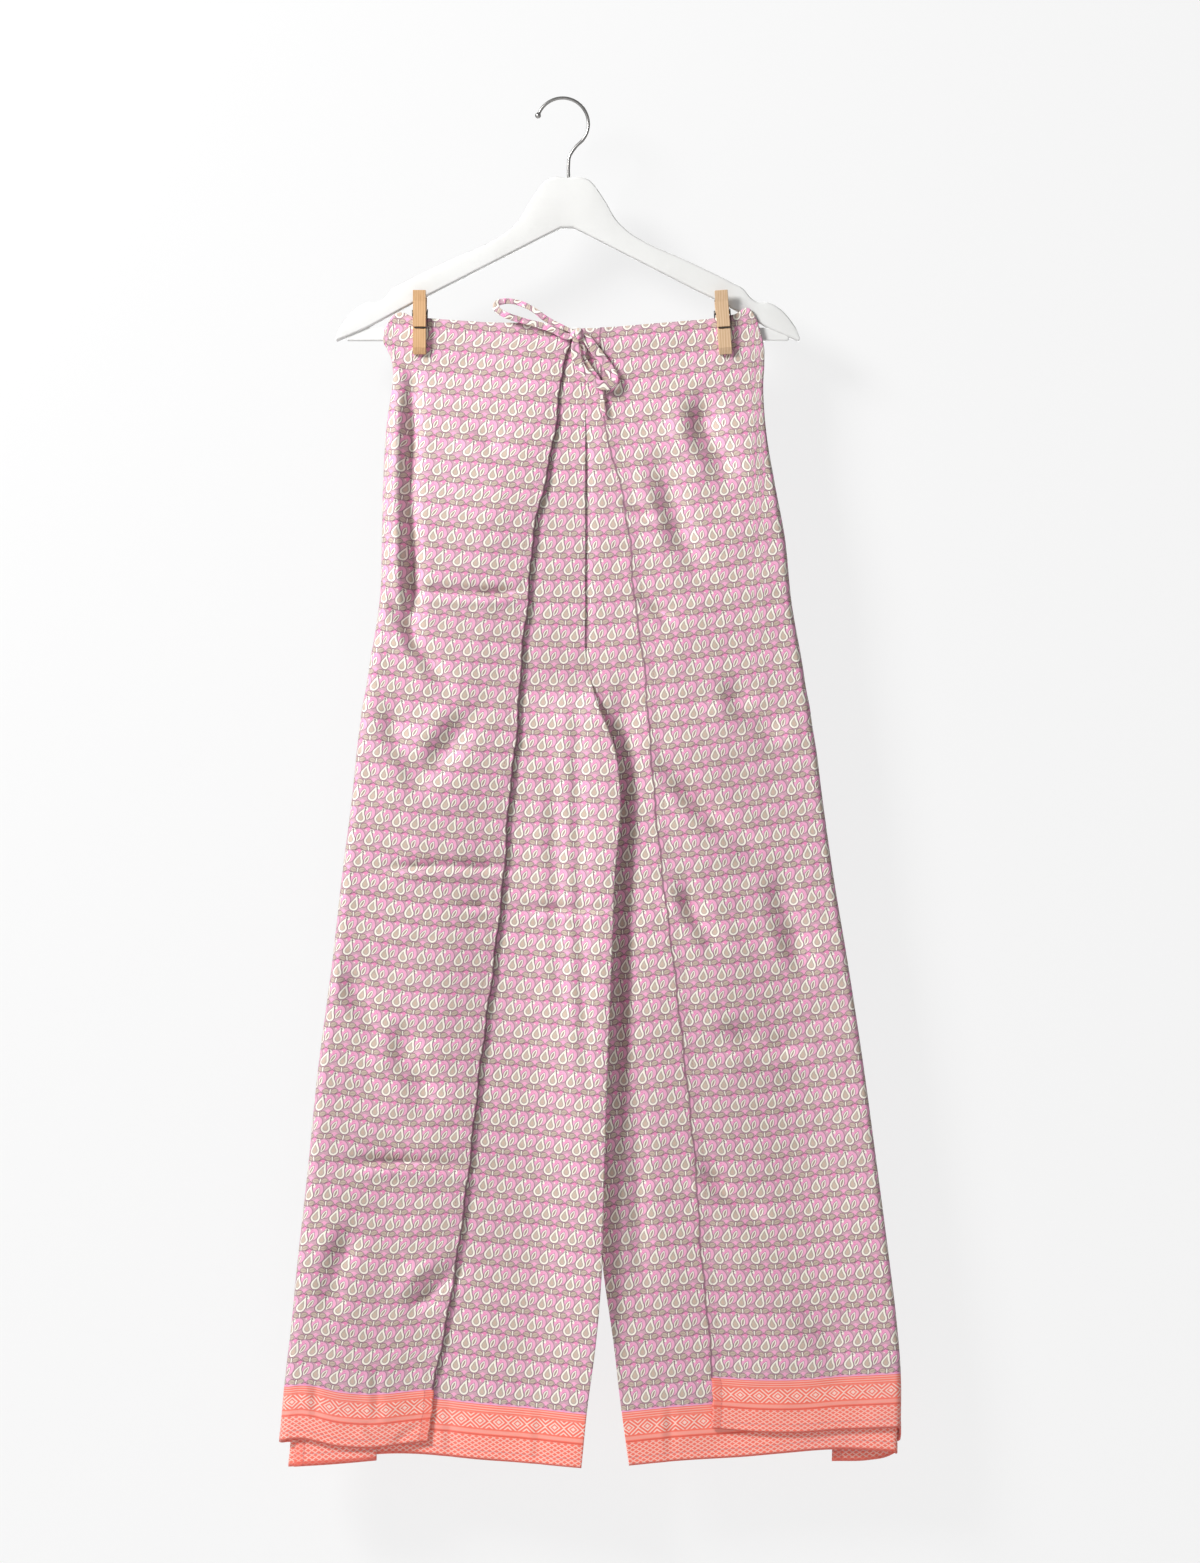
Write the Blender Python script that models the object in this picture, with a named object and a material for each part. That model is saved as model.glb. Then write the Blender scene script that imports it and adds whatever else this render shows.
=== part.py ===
"""Wrap trousers pegged on a coat hanger.

Metres, +Z up. The front of the garment faces -Y and the viewer's right is +X.
The origin is the highest point inside the hook, where a rod or a wall hook carries the hanger.
"drop" is the distance below that point, so a point at drop d has z = -d.
"left" and "right" are the viewer's.
"""

import math

import bmesh
import bpy
import numpy as np

# ---------------------------------------------------------------- driving dimensions

HANGER_SPAN = 0.430          # tip to tip
HANGER_THICKNESS = 0.010
HANGER_EDGE_ROUND = 0.0025
HANGER_CENTRE_X = 0.0053     # the hook's top stands a little left of the wooden body's middle

BAR_TOP_DROP = 0.2120
BAR_HEIGHT = 0.0120
BAR_THICKNESS = 0.0060
BAR_HALF_LENGTH = 0.2050
MORTISE_CLEARANCE = 0.0004

HOOK_WIRE_RADIUS = 0.0015
HOOK_BALL_RADIUS = 0.0028
HOOK_BEND_RADIUS = 0.0240

CLOTH = 0.0010               # wall of every cloth panel
GAP = 0.0004                 # between two pieces that are sewn or pressed together
TIE_WIDTH = 0.0090
TIE_THICKNESS = 0.0016
TIE_TAIL_DIAMETER = 0.0036

PEG_LENGTH = 0.0590
PEG_WIDTH = 0.0120
PEG_PIVOT_BELOW_TOP = 0.0180
PEG_OUTER = 0.0118           # outer face of a prong from the peg's middle plane
PEG_JAW = 0.0060             # inner face of a jaw from the middle plane, closed on bar and cloth
PEG_GROOVE_BELOW_PIVOT = 0.0167
PEG_MIDDLE_Y = -0.0025
SPRING_WIRE_RADIUS = 0.00055
SPRING_COIL_RADIUS = 0.0030

TOP_DROP = 0.205             # nominal top and hem of every panel, before the edges' own shapes
HEM_DROP = 1.246
TAIL_TOP_DROP = 0.350        # the wrapped-in sides start where the layers hang apart
CROTCH_DROP = 0.545
EDGE_SHAPE_POWER = 3         # how fast the rows forget the waist's and the hem's shape

# ---------------------------------------------------------------- tables

# Across the front at a drop: the outer folds, the free edges of the two wrapped flaps,
# and the inner edges of the two legs, which are the centre seam above the crotch.
WIDTHS = (
    # drop, left_fold, left_flap_edge, left_leg_inner, right_leg_inner, right_flap_edge, right_fold
    (0.205, -0.165, 0.010, 0.0216, 0.0222, 0.035, 0.181),
    (0.216, -0.165, 0.010, 0.0216, 0.0222, 0.035, 0.186),
    (0.235, -0.158, 0.003, 0.0216, 0.0222, 0.035, 0.187),
    (0.256, -0.156, 0.000, 0.0216, 0.0222, 0.035, 0.186),
    (0.300, -0.162, -0.005, 0.0216, 0.0222, 0.039, 0.189),
    (0.350, -0.165, -0.014, 0.0216, 0.0222, 0.052, 0.197),
    (0.400, -0.166, -0.025, 0.0216, 0.0222, 0.061, 0.206),
    (0.460, -0.168, -0.030, 0.0216, 0.0222, 0.066, 0.212),
    (0.525, -0.178, -0.037, 0.0240, 0.0246, 0.075, 0.223),
    (0.545, -0.181, -0.038, 0.0290, 0.0296, 0.077, 0.226),
    (0.560, -0.184, -0.039, 0.0335, 0.0341, 0.078, 0.229),
    (0.575, -0.186, -0.040, 0.0400, 0.0335, 0.079, 0.231),
    (0.600, -0.189, -0.042, 0.0490, 0.0300, 0.081, 0.235),
    (0.640, -0.193, -0.047, 0.0540, 0.0280, 0.084, 0.240),
    (0.720, -0.203, -0.053, 0.0490, 0.0260, 0.092, 0.251),
    (0.800, -0.212, -0.062, 0.0460, 0.0260, 0.102, 0.264),
    (0.900, -0.225, -0.075, 0.0420, 0.0270, 0.113, 0.279),
    (1.000, -0.235, -0.086, 0.0390, 0.0310, 0.123, 0.292),
    (1.080, -0.244, -0.097, 0.0365, 0.0390, 0.128, 0.302),
    (1.140, -0.250, -0.107, 0.0310, 0.0480, 0.134, 0.309),
    (1.190, -0.256, -0.117, 0.0240, 0.0540, 0.138, 0.313),
    (1.246, -0.261, -0.123, 0.0180, 0.0620, 0.139, 0.313),
)
WIDTH_COLUMNS = ("left_fold", "left_flap_edge", "left_leg_inner",
                 "right_leg_inner", "right_flap_edge", "right_fold")

# The waist's top edge, slack at the corners outside the pegs and sagging between them.
WAIST_EDGE = (
    # x, drop
    (-0.165, 0.2157), (-0.158, 0.2030), (-0.150, 0.1985), (-0.138, 0.2025), (-0.125, 0.2037),
    (-0.074, 0.2074), (-0.004, 0.2111), (0.009, 0.2139), (0.022, 0.2129), (0.045, 0.2120),
    (0.079, 0.2092), (0.112, 0.2065), (0.142, 0.2037), (0.159, 0.2005), (0.176, 0.1972),
    (0.181, 0.2065), (0.188, 0.2190),
)
HIDDEN_WAIST_DROP = 0.2130   # the layers behind stay below the arms of the hanger

# Each panel's hem, a little uneven as cloth hangs.
LEFT_FLAP_HEM = ((-0.261, 1.2415), (-0.245, 1.2393), (-0.206, 1.2462), (-0.181, 1.2480),
                 (-0.145, 1.2452), (-0.123, 1.2429))                              # x, drop
RIGHT_FLAP_HEM = ((0.139, 1.2314), (0.184, 1.2346), (0.228, 1.2346), (0.252, 1.2327),
                  (0.278, 1.2314), (0.314, 1.2295))                               # x, drop
LEFT_FRONT_HEM = ((-0.252, 1.2656), (-0.171, 1.2549), (-0.067, 1.2600), (0.018, 1.2656))
RIGHT_FRONT_HEM = ((0.062, 1.2661), (0.106, 1.2619), (0.166, 1.2582), (0.203, 1.2545),
                   (0.252, 1.2508), (0.313, 1.2526))                              # x, drop
LEFT_TAIL_HEM = ((-0.252, 1.2656), (-0.222, 1.2637), (-0.173, 1.2600))            # x, drop
RIGHT_TAIL_HEM = ((0.250, 1.2628), (0.284, 1.2615), (0.302, 1.2577), (0.311, 1.2530))
BACK_HEM = ((-0.262, 1.2455), (0.314, 1.2440))                                    # x, drop

# How far the layers stand out from the bar's plane (y), pressed at the waist and free below it.
LAYERS = {
    # layer: (y at the waist, y once the cloth hangs free)
    "back": (-0.0042, -0.0020),
    "front_left": (-0.0058, -0.0150),
    "front_right": (-0.0058, -0.0130),
    "flap_left": (-0.0074, -0.0222),
    "flap_right": (-0.0074, -0.0160),
    "pleat_left": (-0.0064, -0.0172),
    "tail_left": (-0.0070, -0.0194),
    "tail_right": (-0.0050, -0.0066),
}
PRESSED_DROP = 0.238         # the layers part below the pegs
FREE_DROP = 0.400
FLAP_EDGE_SINK = 0.0036      # the left flap's free edge lies closer to the panel under it
FLAP_EDGE_REACH = 0.050

# The inner leg seams: the left leg hangs forward of the right one below the crotch.
SEAM_AT_CROTCH = -0.0100
LEFT_SEAM = -0.0200
RIGHT_SEAM = -0.0085
SEAM_SPLIT = (0.540, 0.580)  # drops between which the two seams part
SEAM_REACH = 0.070           # how far the pinch at a seam reaches into the panel
FOLD_RATIO = 0.70            # an outer fold's depth across x for each unit of its half depth in y
FLAP_BACK_RETURN = 0.006     # a flap's cloth goes this far on behind its fold

LEFT_PLEAT_INSET = 0.0100    # the front panel's hidden fold, inside the left flap's fold
LEFT_TAIL_INSET = 0.0135     # the free side hem of the left tail
LEFT_PLEAT_WIDTH = (0.030, 0.088)    # from the left fold to the pleat's edge, top and hem
RIGHT_INNER_INSET = 0.0034   # the front panel's fold inside the right flap's fold
RIGHT_TAIL_WIDTH = (0.034, 0.063)    # from the right fold to the tail's side hem, top and hem

# Half of the hanger's outline, from the head to the tip and back along its underside.
HANGER_HALF = (
    # from the middle, drop
    (0.0139, 0.0727), (0.0222, 0.0770), (0.0287, 0.0853), (0.0342, 0.0936), (0.0439, 0.1103),
    (0.0555, 0.1223), (0.0717, 0.1325), (0.1036, 0.1468), (0.1304, 0.1593), (0.1526, 0.1704),
    (0.1637, 0.1769), (0.1695, 0.1840), (0.1755, 0.1880), (0.1859, 0.1886), (0.1936, 0.1922),
    (0.2005, 0.1977), (0.2077, 0.2065), (0.2125, 0.2143), (0.2150, 0.2213), (0.2140, 0.2245),
    (0.1878, 0.2134), (0.1397, 0.1874), (0.1203, 0.1778), (0.0140, 0.1235), (0.0060, 0.1196),
)

# The hook below its round bend, down to the wood.
HOOK_SHANK = ((0.0150, 0.0415), (0.0100, 0.0475), (0.0069, 0.0530), (0.0061, 0.0600),
              (0.0061, 0.0723))                                                   # x, drop
HOOK_CENTRE = (0.0005, 0.0225)                                                    # x, drop

# A peg's prong seen from the side: distance from the middle plane, height above the pivot.
PRONG_OUTLINE = (
    (PEG_JAW + 0.0006, -0.0410), (0.0092, -0.0410), (PEG_OUTER, -0.0350),
    (PEG_OUTER, -PEG_GROOVE_BELOW_PIVOT - 0.0009),
    (PEG_OUTER - 0.0010, -PEG_GROOVE_BELOW_PIVOT - 0.0009),
    (PEG_OUTER - 0.0010, -PEG_GROOVE_BELOW_PIVOT + 0.0009),
    (PEG_OUTER, -PEG_GROOVE_BELOW_PIVOT + 0.0009),
    (PEG_OUTER, 0.0080), (0.0133, 0.0180), (0.0096, 0.0180), (0.0083, 0.0040),
    (0.0046, 0.0015), (0.0046, -0.0035), (PEG_JAW, -0.0060), (PEG_JAW, -0.0400),
)
PEGS = (
    # side, x at the pivot, tilt in degrees (jaws towards +X)
    ("left", -0.1318, 0.0),
    ("right", 0.1485, 4.2),
)
PEG_TOP_DROP = 0.1787

# The ties. The left loop stands above the waist's edge, the right loop hangs over the seam.
KNOT_CENTRE = (0.0145, -0.0138, -0.2197)
KNOT_HALF = (0.0062, 0.0048, 0.0058)
LEFT_LOOP = (
    # x, y, drop
    (0.0052, -0.0130, 0.2215), (-0.0080, -0.0130, 0.2150), (-0.0231, -0.0132, 0.2102),
    (-0.0400, -0.0140, 0.2058), (-0.0530, -0.0150, 0.2012), (-0.0605, -0.0135, 0.1958),
    (-0.0600, -0.0100, 0.1905), (-0.0520, -0.0086, 0.1882), (-0.0380, -0.0088, 0.1905),
    (-0.0260, -0.0095, 0.1965), (-0.0160, -0.0100, 0.2040), (-0.0040, -0.0102, 0.2105),
    (0.0058, -0.0102, 0.2148),
)
RIGHT_LOOP = (
    (0.0240, -0.0138, 0.2250), (0.0290, -0.0128, 0.2320), (0.0365, -0.0125, 0.2410),
    (0.0445, -0.0132, 0.2525), (0.0480, -0.0150, 0.2610), (0.0430, -0.0162, 0.2665),
    (0.0335, -0.0162, 0.2655), (0.0240, -0.0156, 0.2580), (0.0155, -0.0150, 0.2465),
    (0.0125, -0.0150, 0.2350), (0.0125, -0.0148, 0.2272),
)
TIE_TAIL = (
    (0.0190, -0.0113, 0.2300), (0.0205, -0.0113, 0.2400), (0.0265, -0.0114, 0.2510),
    (0.0340, -0.0116, 0.2620), (0.0362, -0.0121, 0.2720), (0.0375, -0.0128, 0.2830),
    (0.0387, -0.0138, 0.2950),
)

COLOURS = {
    # name: (red, green, blue), roughness, metallic
    "print_cloth": ((0.62, 0.36, 0.45), 0.75, 0.0),
    "hanger_paint": ((0.88, 0.88, 0.86), 0.35, 0.0),
    "peg_wood": ((0.72, 0.48, 0.24), 0.60, 0.0),
    "steel": ((0.42, 0.41, 0.40), 0.30, 1.0),
}


# ---------------------------------------------------------------- helpers

def material(name):
    """The named material, made once."""
    made = bpy.data.materials.get(name)
    if made:
        return made
    colour, roughness, metallic = COLOURS[name]
    made = bpy.data.materials.new(name)
    made.use_nodes = True
    shader = made.node_tree.nodes["Principled BSDF"]
    shader.inputs["Base Color"].default_value = (*colour, 1.0)
    shader.inputs["Roughness"].default_value = roughness
    shader.inputs["Metallic"].default_value = metallic
    return made


def add_mesh(name, points, faces, finish, smooth=True):
    """One closed mesh object, its faces turned outwards."""
    mesh = bpy.data.meshes.new(name)
    shape = bmesh.new()
    corners = [shape.verts.new(p) for p in points]
    for face in faces:
        shape.faces.new([corners[i] for i in face])
    bmesh.ops.recalc_face_normals(shape, faces=shape.faces)
    shape.to_mesh(mesh)
    shape.free()
    if smooth:
        mesh.shade_smooth()
        mesh.set_sharp_from_angle(angle=math.radians(40))
    item = bpy.data.objects.new(name, mesh)
    item.data.materials.append(material(finish))
    bpy.context.scene.collection.objects.link(item)
    return item


def ease(start, end, value):
    """0 before start, 1 after end, and a soft S between them."""
    t = np.clip((np.asarray(value, float) - start) / (end - start), 0.0, 1.0)
    return t * t * (3.0 - 2.0 * t)


def mix(a, b, weight):
    return a + (b - a) * weight


def smooth_curve(table, at):
    """Reads a table of (position, value) rows as a smooth curve: cubic pieces between the rows,
    each row's slope being that of the chord between its neighbours."""
    knots = np.array([row[0] for row in table])
    values = np.array([row[1] for row in table])
    slopes = np.gradient(values, knots)
    at = np.clip(np.asarray(at, float), knots[0], knots[-1])
    low = np.clip(np.searchsorted(knots, at) - 1, 0, len(knots) - 2)
    step = knots[low + 1] - knots[low]
    t = (at - knots[low]) / step
    return ((2 * t**3 - 3 * t**2 + 1) * values[low] + (t**3 - 2 * t**2 + t) * step * slopes[low]
            + (3 * t**2 - 2 * t**3) * values[low + 1] + (t**3 - t**2) * step * slopes[low + 1])


def straight_curve(table, at):
    """Reads a table of (position, value) rows with straight lines between the rows."""
    return np.interp(at, [row[0] for row in table], [row[1] for row in table])


def width(column, drop):
    """One column of WIDTHS at a drop."""
    place = WIDTH_COLUMNS.index(column) + 1
    return smooth_curve([(row[0], row[place]) for row in WIDTHS], drop)


# ---------------------------------------------------------------- the depth of each layer

def layer(name, drop):
    """A layer's y: pressed together at the waist, free below it."""
    pressed, free = LAYERS[name]
    return mix(pressed, free, ease(PRESSED_DROP, FREE_DROP, drop))


def seam_pull(side, x, drop):
    """1 on a leg's inner seam and at the crotch, fading to 0 at SEAM_REACH from them."""
    across = x - width(side + "_leg_inner", drop)
    above = np.maximum(CROTCH_DROP - drop, 0.0)
    return 1.0 - ease(0.0, SEAM_REACH, np.hypot(across, above))


def seam_y(side, drop):
    """The front panel's y on a leg's inner seam."""
    hanging = LEFT_SEAM if side == "left" else RIGHT_SEAM
    return mix(SEAM_AT_CROTCH, hanging, ease(*SEAM_SPLIT, drop))


def front_y(side, x, drop):
    """The front panel: one depth on each leg, joined smoothly across the middle."""
    free = mix(layer("front_left", drop), layer("front_right", drop), ease(-0.05, 0.09, x))
    return mix(free, seam_y(side, drop), seam_pull(side, x, drop))


def back_y(side, x, drop):
    """The back panel, which meets the front panel at the inner seam."""
    behind = seam_y(side, drop) + CLOTH + GAP
    return mix(layer("back", drop), behind, seam_pull(side, x, drop))


def flap_y(side, x, drop):
    """A wrapped flap, over the front panel and over what is tucked under it."""
    free = layer("flap_" + side, drop)
    if side == "right":
        return free + 0.0 * x
    near_edge = 1.0 - ease(0.0, FLAP_EDGE_REACH, width("left_flap_edge", drop) - x)
    return free + FLAP_EDGE_SINK * near_edge * ease(PRESSED_DROP, FREE_DROP, drop)


# ---------------------------------------------------------------- cloth walls

def run(start, end, depth, count):
    """A stretch across x: count points from start to end, at the depth that the function gives."""
    x = mix(start, end, np.linspace(0.0, 1.0, count))
    return x, depth(x)


def turn(x, from_y, to_y, reach, count):
    """Half an ellipse round a fold, reaching out by reach in x (negative is to the left)."""
    angle = np.linspace(0.0, math.pi, count + 2)[1:-1]
    middle = (from_y + to_y) / 2.0
    return x + reach * np.sin(angle), middle + (from_y - middle) * np.cos(angle)


def hang(path, top_edge, hem, first_drop=TOP_DROP):
    """A panel's middle surface as a grid of points, a row for each drop in WIDTHS.

    path(drop) gives a row's x and y. Near the waist and the hem the rows bend to the edges' shapes.
    """
    grid = []
    for nominal in [row[0] for row in WIDTHS if row[0] >= first_drop]:
        share = (nominal - TOP_DROP) / (HEM_DROP - TOP_DROP)
        x, y = path(nominal)
        rise = (top_edge(x, y) - TOP_DROP) * (1.0 - share) ** EDGE_SHAPE_POWER
        fall = (hem(x) - HEM_DROP) * share ** EDGE_SHAPE_POWER
        grid.append(np.stack([x, y, -(nominal + rise + fall)], axis=1))
    return np.array(grid)


def cloth_wall(name, grid):
    """A closed wall of CLOTH thickness on both sides of a grid of points."""
    rows, columns = grid.shape[:2]
    normal = np.cross(np.gradient(grid, axis=1), np.gradient(grid, axis=0))
    normal /= np.linalg.norm(normal, axis=2, keepdims=True)
    sides = np.concatenate([(grid + normal * CLOTH / 2).reshape(-1, 3),
                            (grid - normal * CLOTH / 2).reshape(-1, 3)])
    number = np.arange(rows * columns).reshape(rows, columns)
    other = number + rows * columns
    faces = []
    for r in range(rows - 1):
        for c in range(columns - 1):
            quad = ((r, c), (r, c + 1), (r + 1, c + 1), (r + 1, c))
            faces.append([number[p] for p in quad])
            faces.append([other[p] for p in reversed(quad)])
    loop = ([(0, c) for c in range(columns)] + [(r, columns - 1) for r in range(1, rows)]
            + [(rows - 1, c) for c in reversed(range(columns - 1))]
            + [(r, 0) for r in reversed(range(1, rows - 1))])
    for a, b in zip(loop, loop[1:] + loop[:1]):
        faces.append([number[b], number[a], other[a], other[b]])
    return add_mesh(name, sides.tolist(), faces, "print_cloth")


def outer_fold(side, drop):
    """Where a flap turns round the outer side: x where its turn starts, and its reach in x."""
    edge = width(side + "_fold", drop)
    half_depth = (layer("back", drop) - layer("flap_" + side, drop)) / 2.0
    reach = FOLD_RATIO * half_depth
    sign = -1.0 if side == "left" else 1.0
    return edge - sign * reach, sign * reach


def hidden_waist(x, y):
    """The top edge of the layers behind, kept under the hanger's arms."""
    return np.maximum(smooth_curve(WAIST_EDGE, x), HIDDEN_WAIST_DROP)


def flap_waist(x, y):
    """The flap's top edge: the waist's shape in front, lower where it has turned to the back."""
    behind = ease(LAYERS["flap_left"][0] + 0.0008, LAYERS["back"][0], y)
    return mix(smooth_curve(WAIST_EDGE, x), hidden_waist(x, y), behind)


def make_back_panel(side):
    """From the centre back seam and the inner leg seam to just behind the outer fold."""
    sign = -1.0 if side == "left" else 1.0

    def path(drop):
        turn_x, _ = outer_fold(side, drop)
        end = turn_x - sign * (FLAP_BACK_RETURN + GAP)
        return run(width(side + "_leg_inner", drop), end, lambda x: back_y(side, x, drop), 9)

    cloth_wall("back_panel_" + side,
               hang(path, hidden_waist, lambda x: straight_curve(BACK_HEM, x)))


def make_flap(side, hem):
    """The back panel's side, brought round the outer fold and over the front to its free edge."""
    sign = -1.0 if side == "left" else 1.0

    def path(drop):
        turn_x, reach = outer_fold(side, drop)
        back = run(turn_x - sign * FLAP_BACK_RETURN, turn_x, lambda x: back_y(side, x, drop), 2)
        bend = turn(turn_x, back[1][-1], flap_y(side, turn_x, drop), reach, 3)
        front = run(turn_x, width(side + "_flap_edge", drop),
                    lambda x: flap_y(side, x, drop), 9)
        return tuple(np.concatenate([a, b, c]) for a, b, c in zip(back, bend, front))

    cloth_wall("wrap_flap_" + side, hang(path, flap_waist, lambda x: smooth_curve(hem, x)))


def make_front_panel(side, hem):
    """From the centre front seam and the inner leg seam to the fold inside the flap."""
    def path(drop):
        if side == "left":
            end = width("left_fold", drop) + LEFT_PLEAT_INSET + GAP
        else:
            end = width("right_fold", drop) - RIGHT_INNER_INSET - right_inner_reach(drop) - GAP
        return run(width(side + "_leg_inner", drop), end, lambda x: front_y(side, x, drop), 9)

    cloth_wall("front_panel_" + side, hang(path, hidden_waist, lambda x: smooth_curve(hem, x)))


def right_inner_reach(drop):
    """How far the right front panel's inner fold turns out in x."""
    return FOLD_RATIO * (layer("tail_right", drop) - layer("front_right", drop)) / 2.0


def hem_share(drop):
    return (drop - TAIL_TOP_DROP) / (HEM_DROP - TAIL_TOP_DROP)


def make_left_tail():
    """The left front panel's side, pleated back on itself under the flap, to its side hem."""
    def path(drop):
        fold = width("left_fold", drop) + LEFT_PLEAT_INSET
        pleat = width("left_fold", drop) + mix(*LEFT_PLEAT_WIDTH, hem_share(drop))
        side_hem = width("left_fold", drop) + LEFT_TAIL_INSET
        levels = [layer(n, drop) for n in ("front_left", "pleat_left", "tail_left")]
        stretches = (
            turn(fold, levels[0], levels[1], -0.0011, 3),
            run(fold, pleat, lambda x: levels[1] + 0.0 * x, 4),
            turn(pleat, levels[1], levels[2], 0.0011, 3),
            run(pleat, side_hem, lambda x: levels[2] + 0.0 * x, 4),
        )
        return tuple(np.concatenate(parts) for parts in zip(*stretches))

    cloth_wall("front_tail_left", hang(path, hidden_waist,
                                       lambda x: smooth_curve(LEFT_TAIL_HEM, x), TAIL_TOP_DROP))


def make_right_tail():
    """The right front panel's side, turned behind it to its side hem."""
    def path(drop):
        reach = right_inner_reach(drop)
        fold = width("right_fold", drop) - RIGHT_INNER_INSET - reach
        side_hem = width("right_fold", drop) - mix(*RIGHT_TAIL_WIDTH, hem_share(drop))
        levels = [layer(n, drop) for n in ("front_right", "tail_right")]
        stretches = (
            turn(fold, levels[0], levels[1], reach, 3),
            run(fold, side_hem, lambda x: levels[1] + 0.0 * x, 5),
        )
        return tuple(np.concatenate(parts) for parts in zip(*stretches))

    cloth_wall("front_tail_right", hang(path, hidden_waist,
                                        lambda x: smooth_curve(RIGHT_TAIL_HEM, x), TAIL_TOP_DROP))


# ---------------------------------------------------------------- ties

def dense_path(points, count):
    """Evenly spread points on a smooth curve through the route's own points."""
    points = np.array([(x, y, -drop) for x, y, drop in points])
    along = np.concatenate([[0.0], np.cumsum(np.linalg.norm(np.diff(points, axis=0), axis=1))])
    at = np.linspace(0.0, along[-1], count)
    return np.stack([smooth_curve(list(zip(along, points[:, k])), at) for k in range(3)], axis=1)


def make_strap(name, route, count, start_width, end_width):
    """A flat tie swept along a route, its face turned to the front."""
    path = dense_path(route, count)
    along = np.gradient(path, axis=0)
    along /= np.linalg.norm(along, axis=1, keepdims=True)
    across = np.cross(along, (0.0, 1.0, 0.0))
    across /= np.linalg.norm(across, axis=1, keepdims=True)
    face = np.cross(across, along)
    half = np.linspace(start_width, end_width, count)[:, None] / 2.0
    rings = np.stack([path + across * half * a + face * TIE_THICKNESS / 2.0 * b
                      for a, b in ((-1, -1), (1, -1), (1, 1), (-1, 1))], axis=1)
    add_tube(name, rings, "print_cloth")


def add_tube(name, rings, finish):
    """Closes a row of rings of points into one solid with flat ends."""
    count, sides = rings.shape[:2]
    faces = [[i * sides + j, i * sides + (j + 1) % sides,
              (i + 1) * sides + (j + 1) % sides, (i + 1) * sides + j]
             for i in range(count - 1) for j in range(sides)]
    faces.append(list(reversed(range(sides))))
    faces.append([(count - 1) * sides + j for j in range(sides)])
    return add_mesh(name, rings.reshape(-1, 3).tolist(), faces, finish)


def round_rings(path, radii, sides):
    """Rings of a round wire along a path, each turned as little as possible from the last."""
    along = np.gradient(path, axis=0)
    along /= np.linalg.norm(along, axis=1, keepdims=True)
    across = np.cross(along[0], (0.31, 0.87, 0.38))
    rings = []
    angles = np.linspace(0.0, 2.0 * math.pi, sides, endpoint=False)
    for point, direction, radius in zip(path, along, radii):
        across = across - direction * np.dot(across, direction)
        across /= np.linalg.norm(across)
        other = np.cross(direction, across)
        rings.append([point + radius * (math.cos(a) * across + math.sin(a) * other)
                      for a in angles])
    return np.array(rings)


def make_ties():
    bpy.ops.mesh.primitive_ico_sphere_add(subdivisions=2, radius=1.0)
    knot = bpy.context.object
    knot.name = "tie_knot"
    for corner in knot.data.vertices:
        pinch = 1.0 - 0.16 * math.cos(3.0 * math.atan2(corner.co.z, corner.co.x))
        corner.co = [c * h * pinch + k for c, h, k in zip(corner.co, KNOT_HALF, KNOT_CENTRE)]
    knot.data.shade_smooth()
    knot.data.materials.append(material("print_cloth"))
    make_strap("tie_loop_left", LEFT_LOOP, 30, 0.75 * TIE_WIDTH, 0.52 * TIE_WIDTH)
    make_strap("tie_loop_right", RIGHT_LOOP, 26, TIE_WIDTH, 0.85 * TIE_WIDTH)

    route = bpy.data.curves.new("tie_tail", "CURVE")
    route.dimensions = "3D"
    points = dense_path(TIE_TAIL, 16)
    line = route.splines.new("POLY")
    line.points.add(len(points) - 1)
    for place, point in zip(line.points, points):
        place.co = (*point, 1.0)
    route.bevel_depth = TIE_TAIL_DIAMETER / 2.0
    route.bevel_resolution = 2
    route.use_fill_caps = True
    route.materials.append(material("print_cloth"))
    bpy.context.scene.collection.objects.link(bpy.data.objects.new("tie_tail", route))


# ---------------------------------------------------------------- hanger

def extrude_outline(name, outline, thickness, finish, rounding, segments):
    """An outline in the XZ plane made solid from -thickness/2 to +thickness/2, edges rounded."""
    front = [(x, -thickness / 2.0, z) for x, z in outline]
    back = [(x, thickness / 2.0, z) for x, z in outline]
    count = len(outline)
    faces = [list(range(count)), list(reversed(range(count, 2 * count)))]
    faces += [[(i + 1) % count, i, count + i, count + (i + 1) % count] for i in range(count)]
    item = add_mesh(name, front + back, faces, finish)
    edge = item.modifiers.new("edge", "BEVEL")
    edge.width = rounding
    edge.segments = segments
    edge.limit_method = "ANGLE"
    edge.angle_limit = math.radians(60)
    return item


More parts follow.
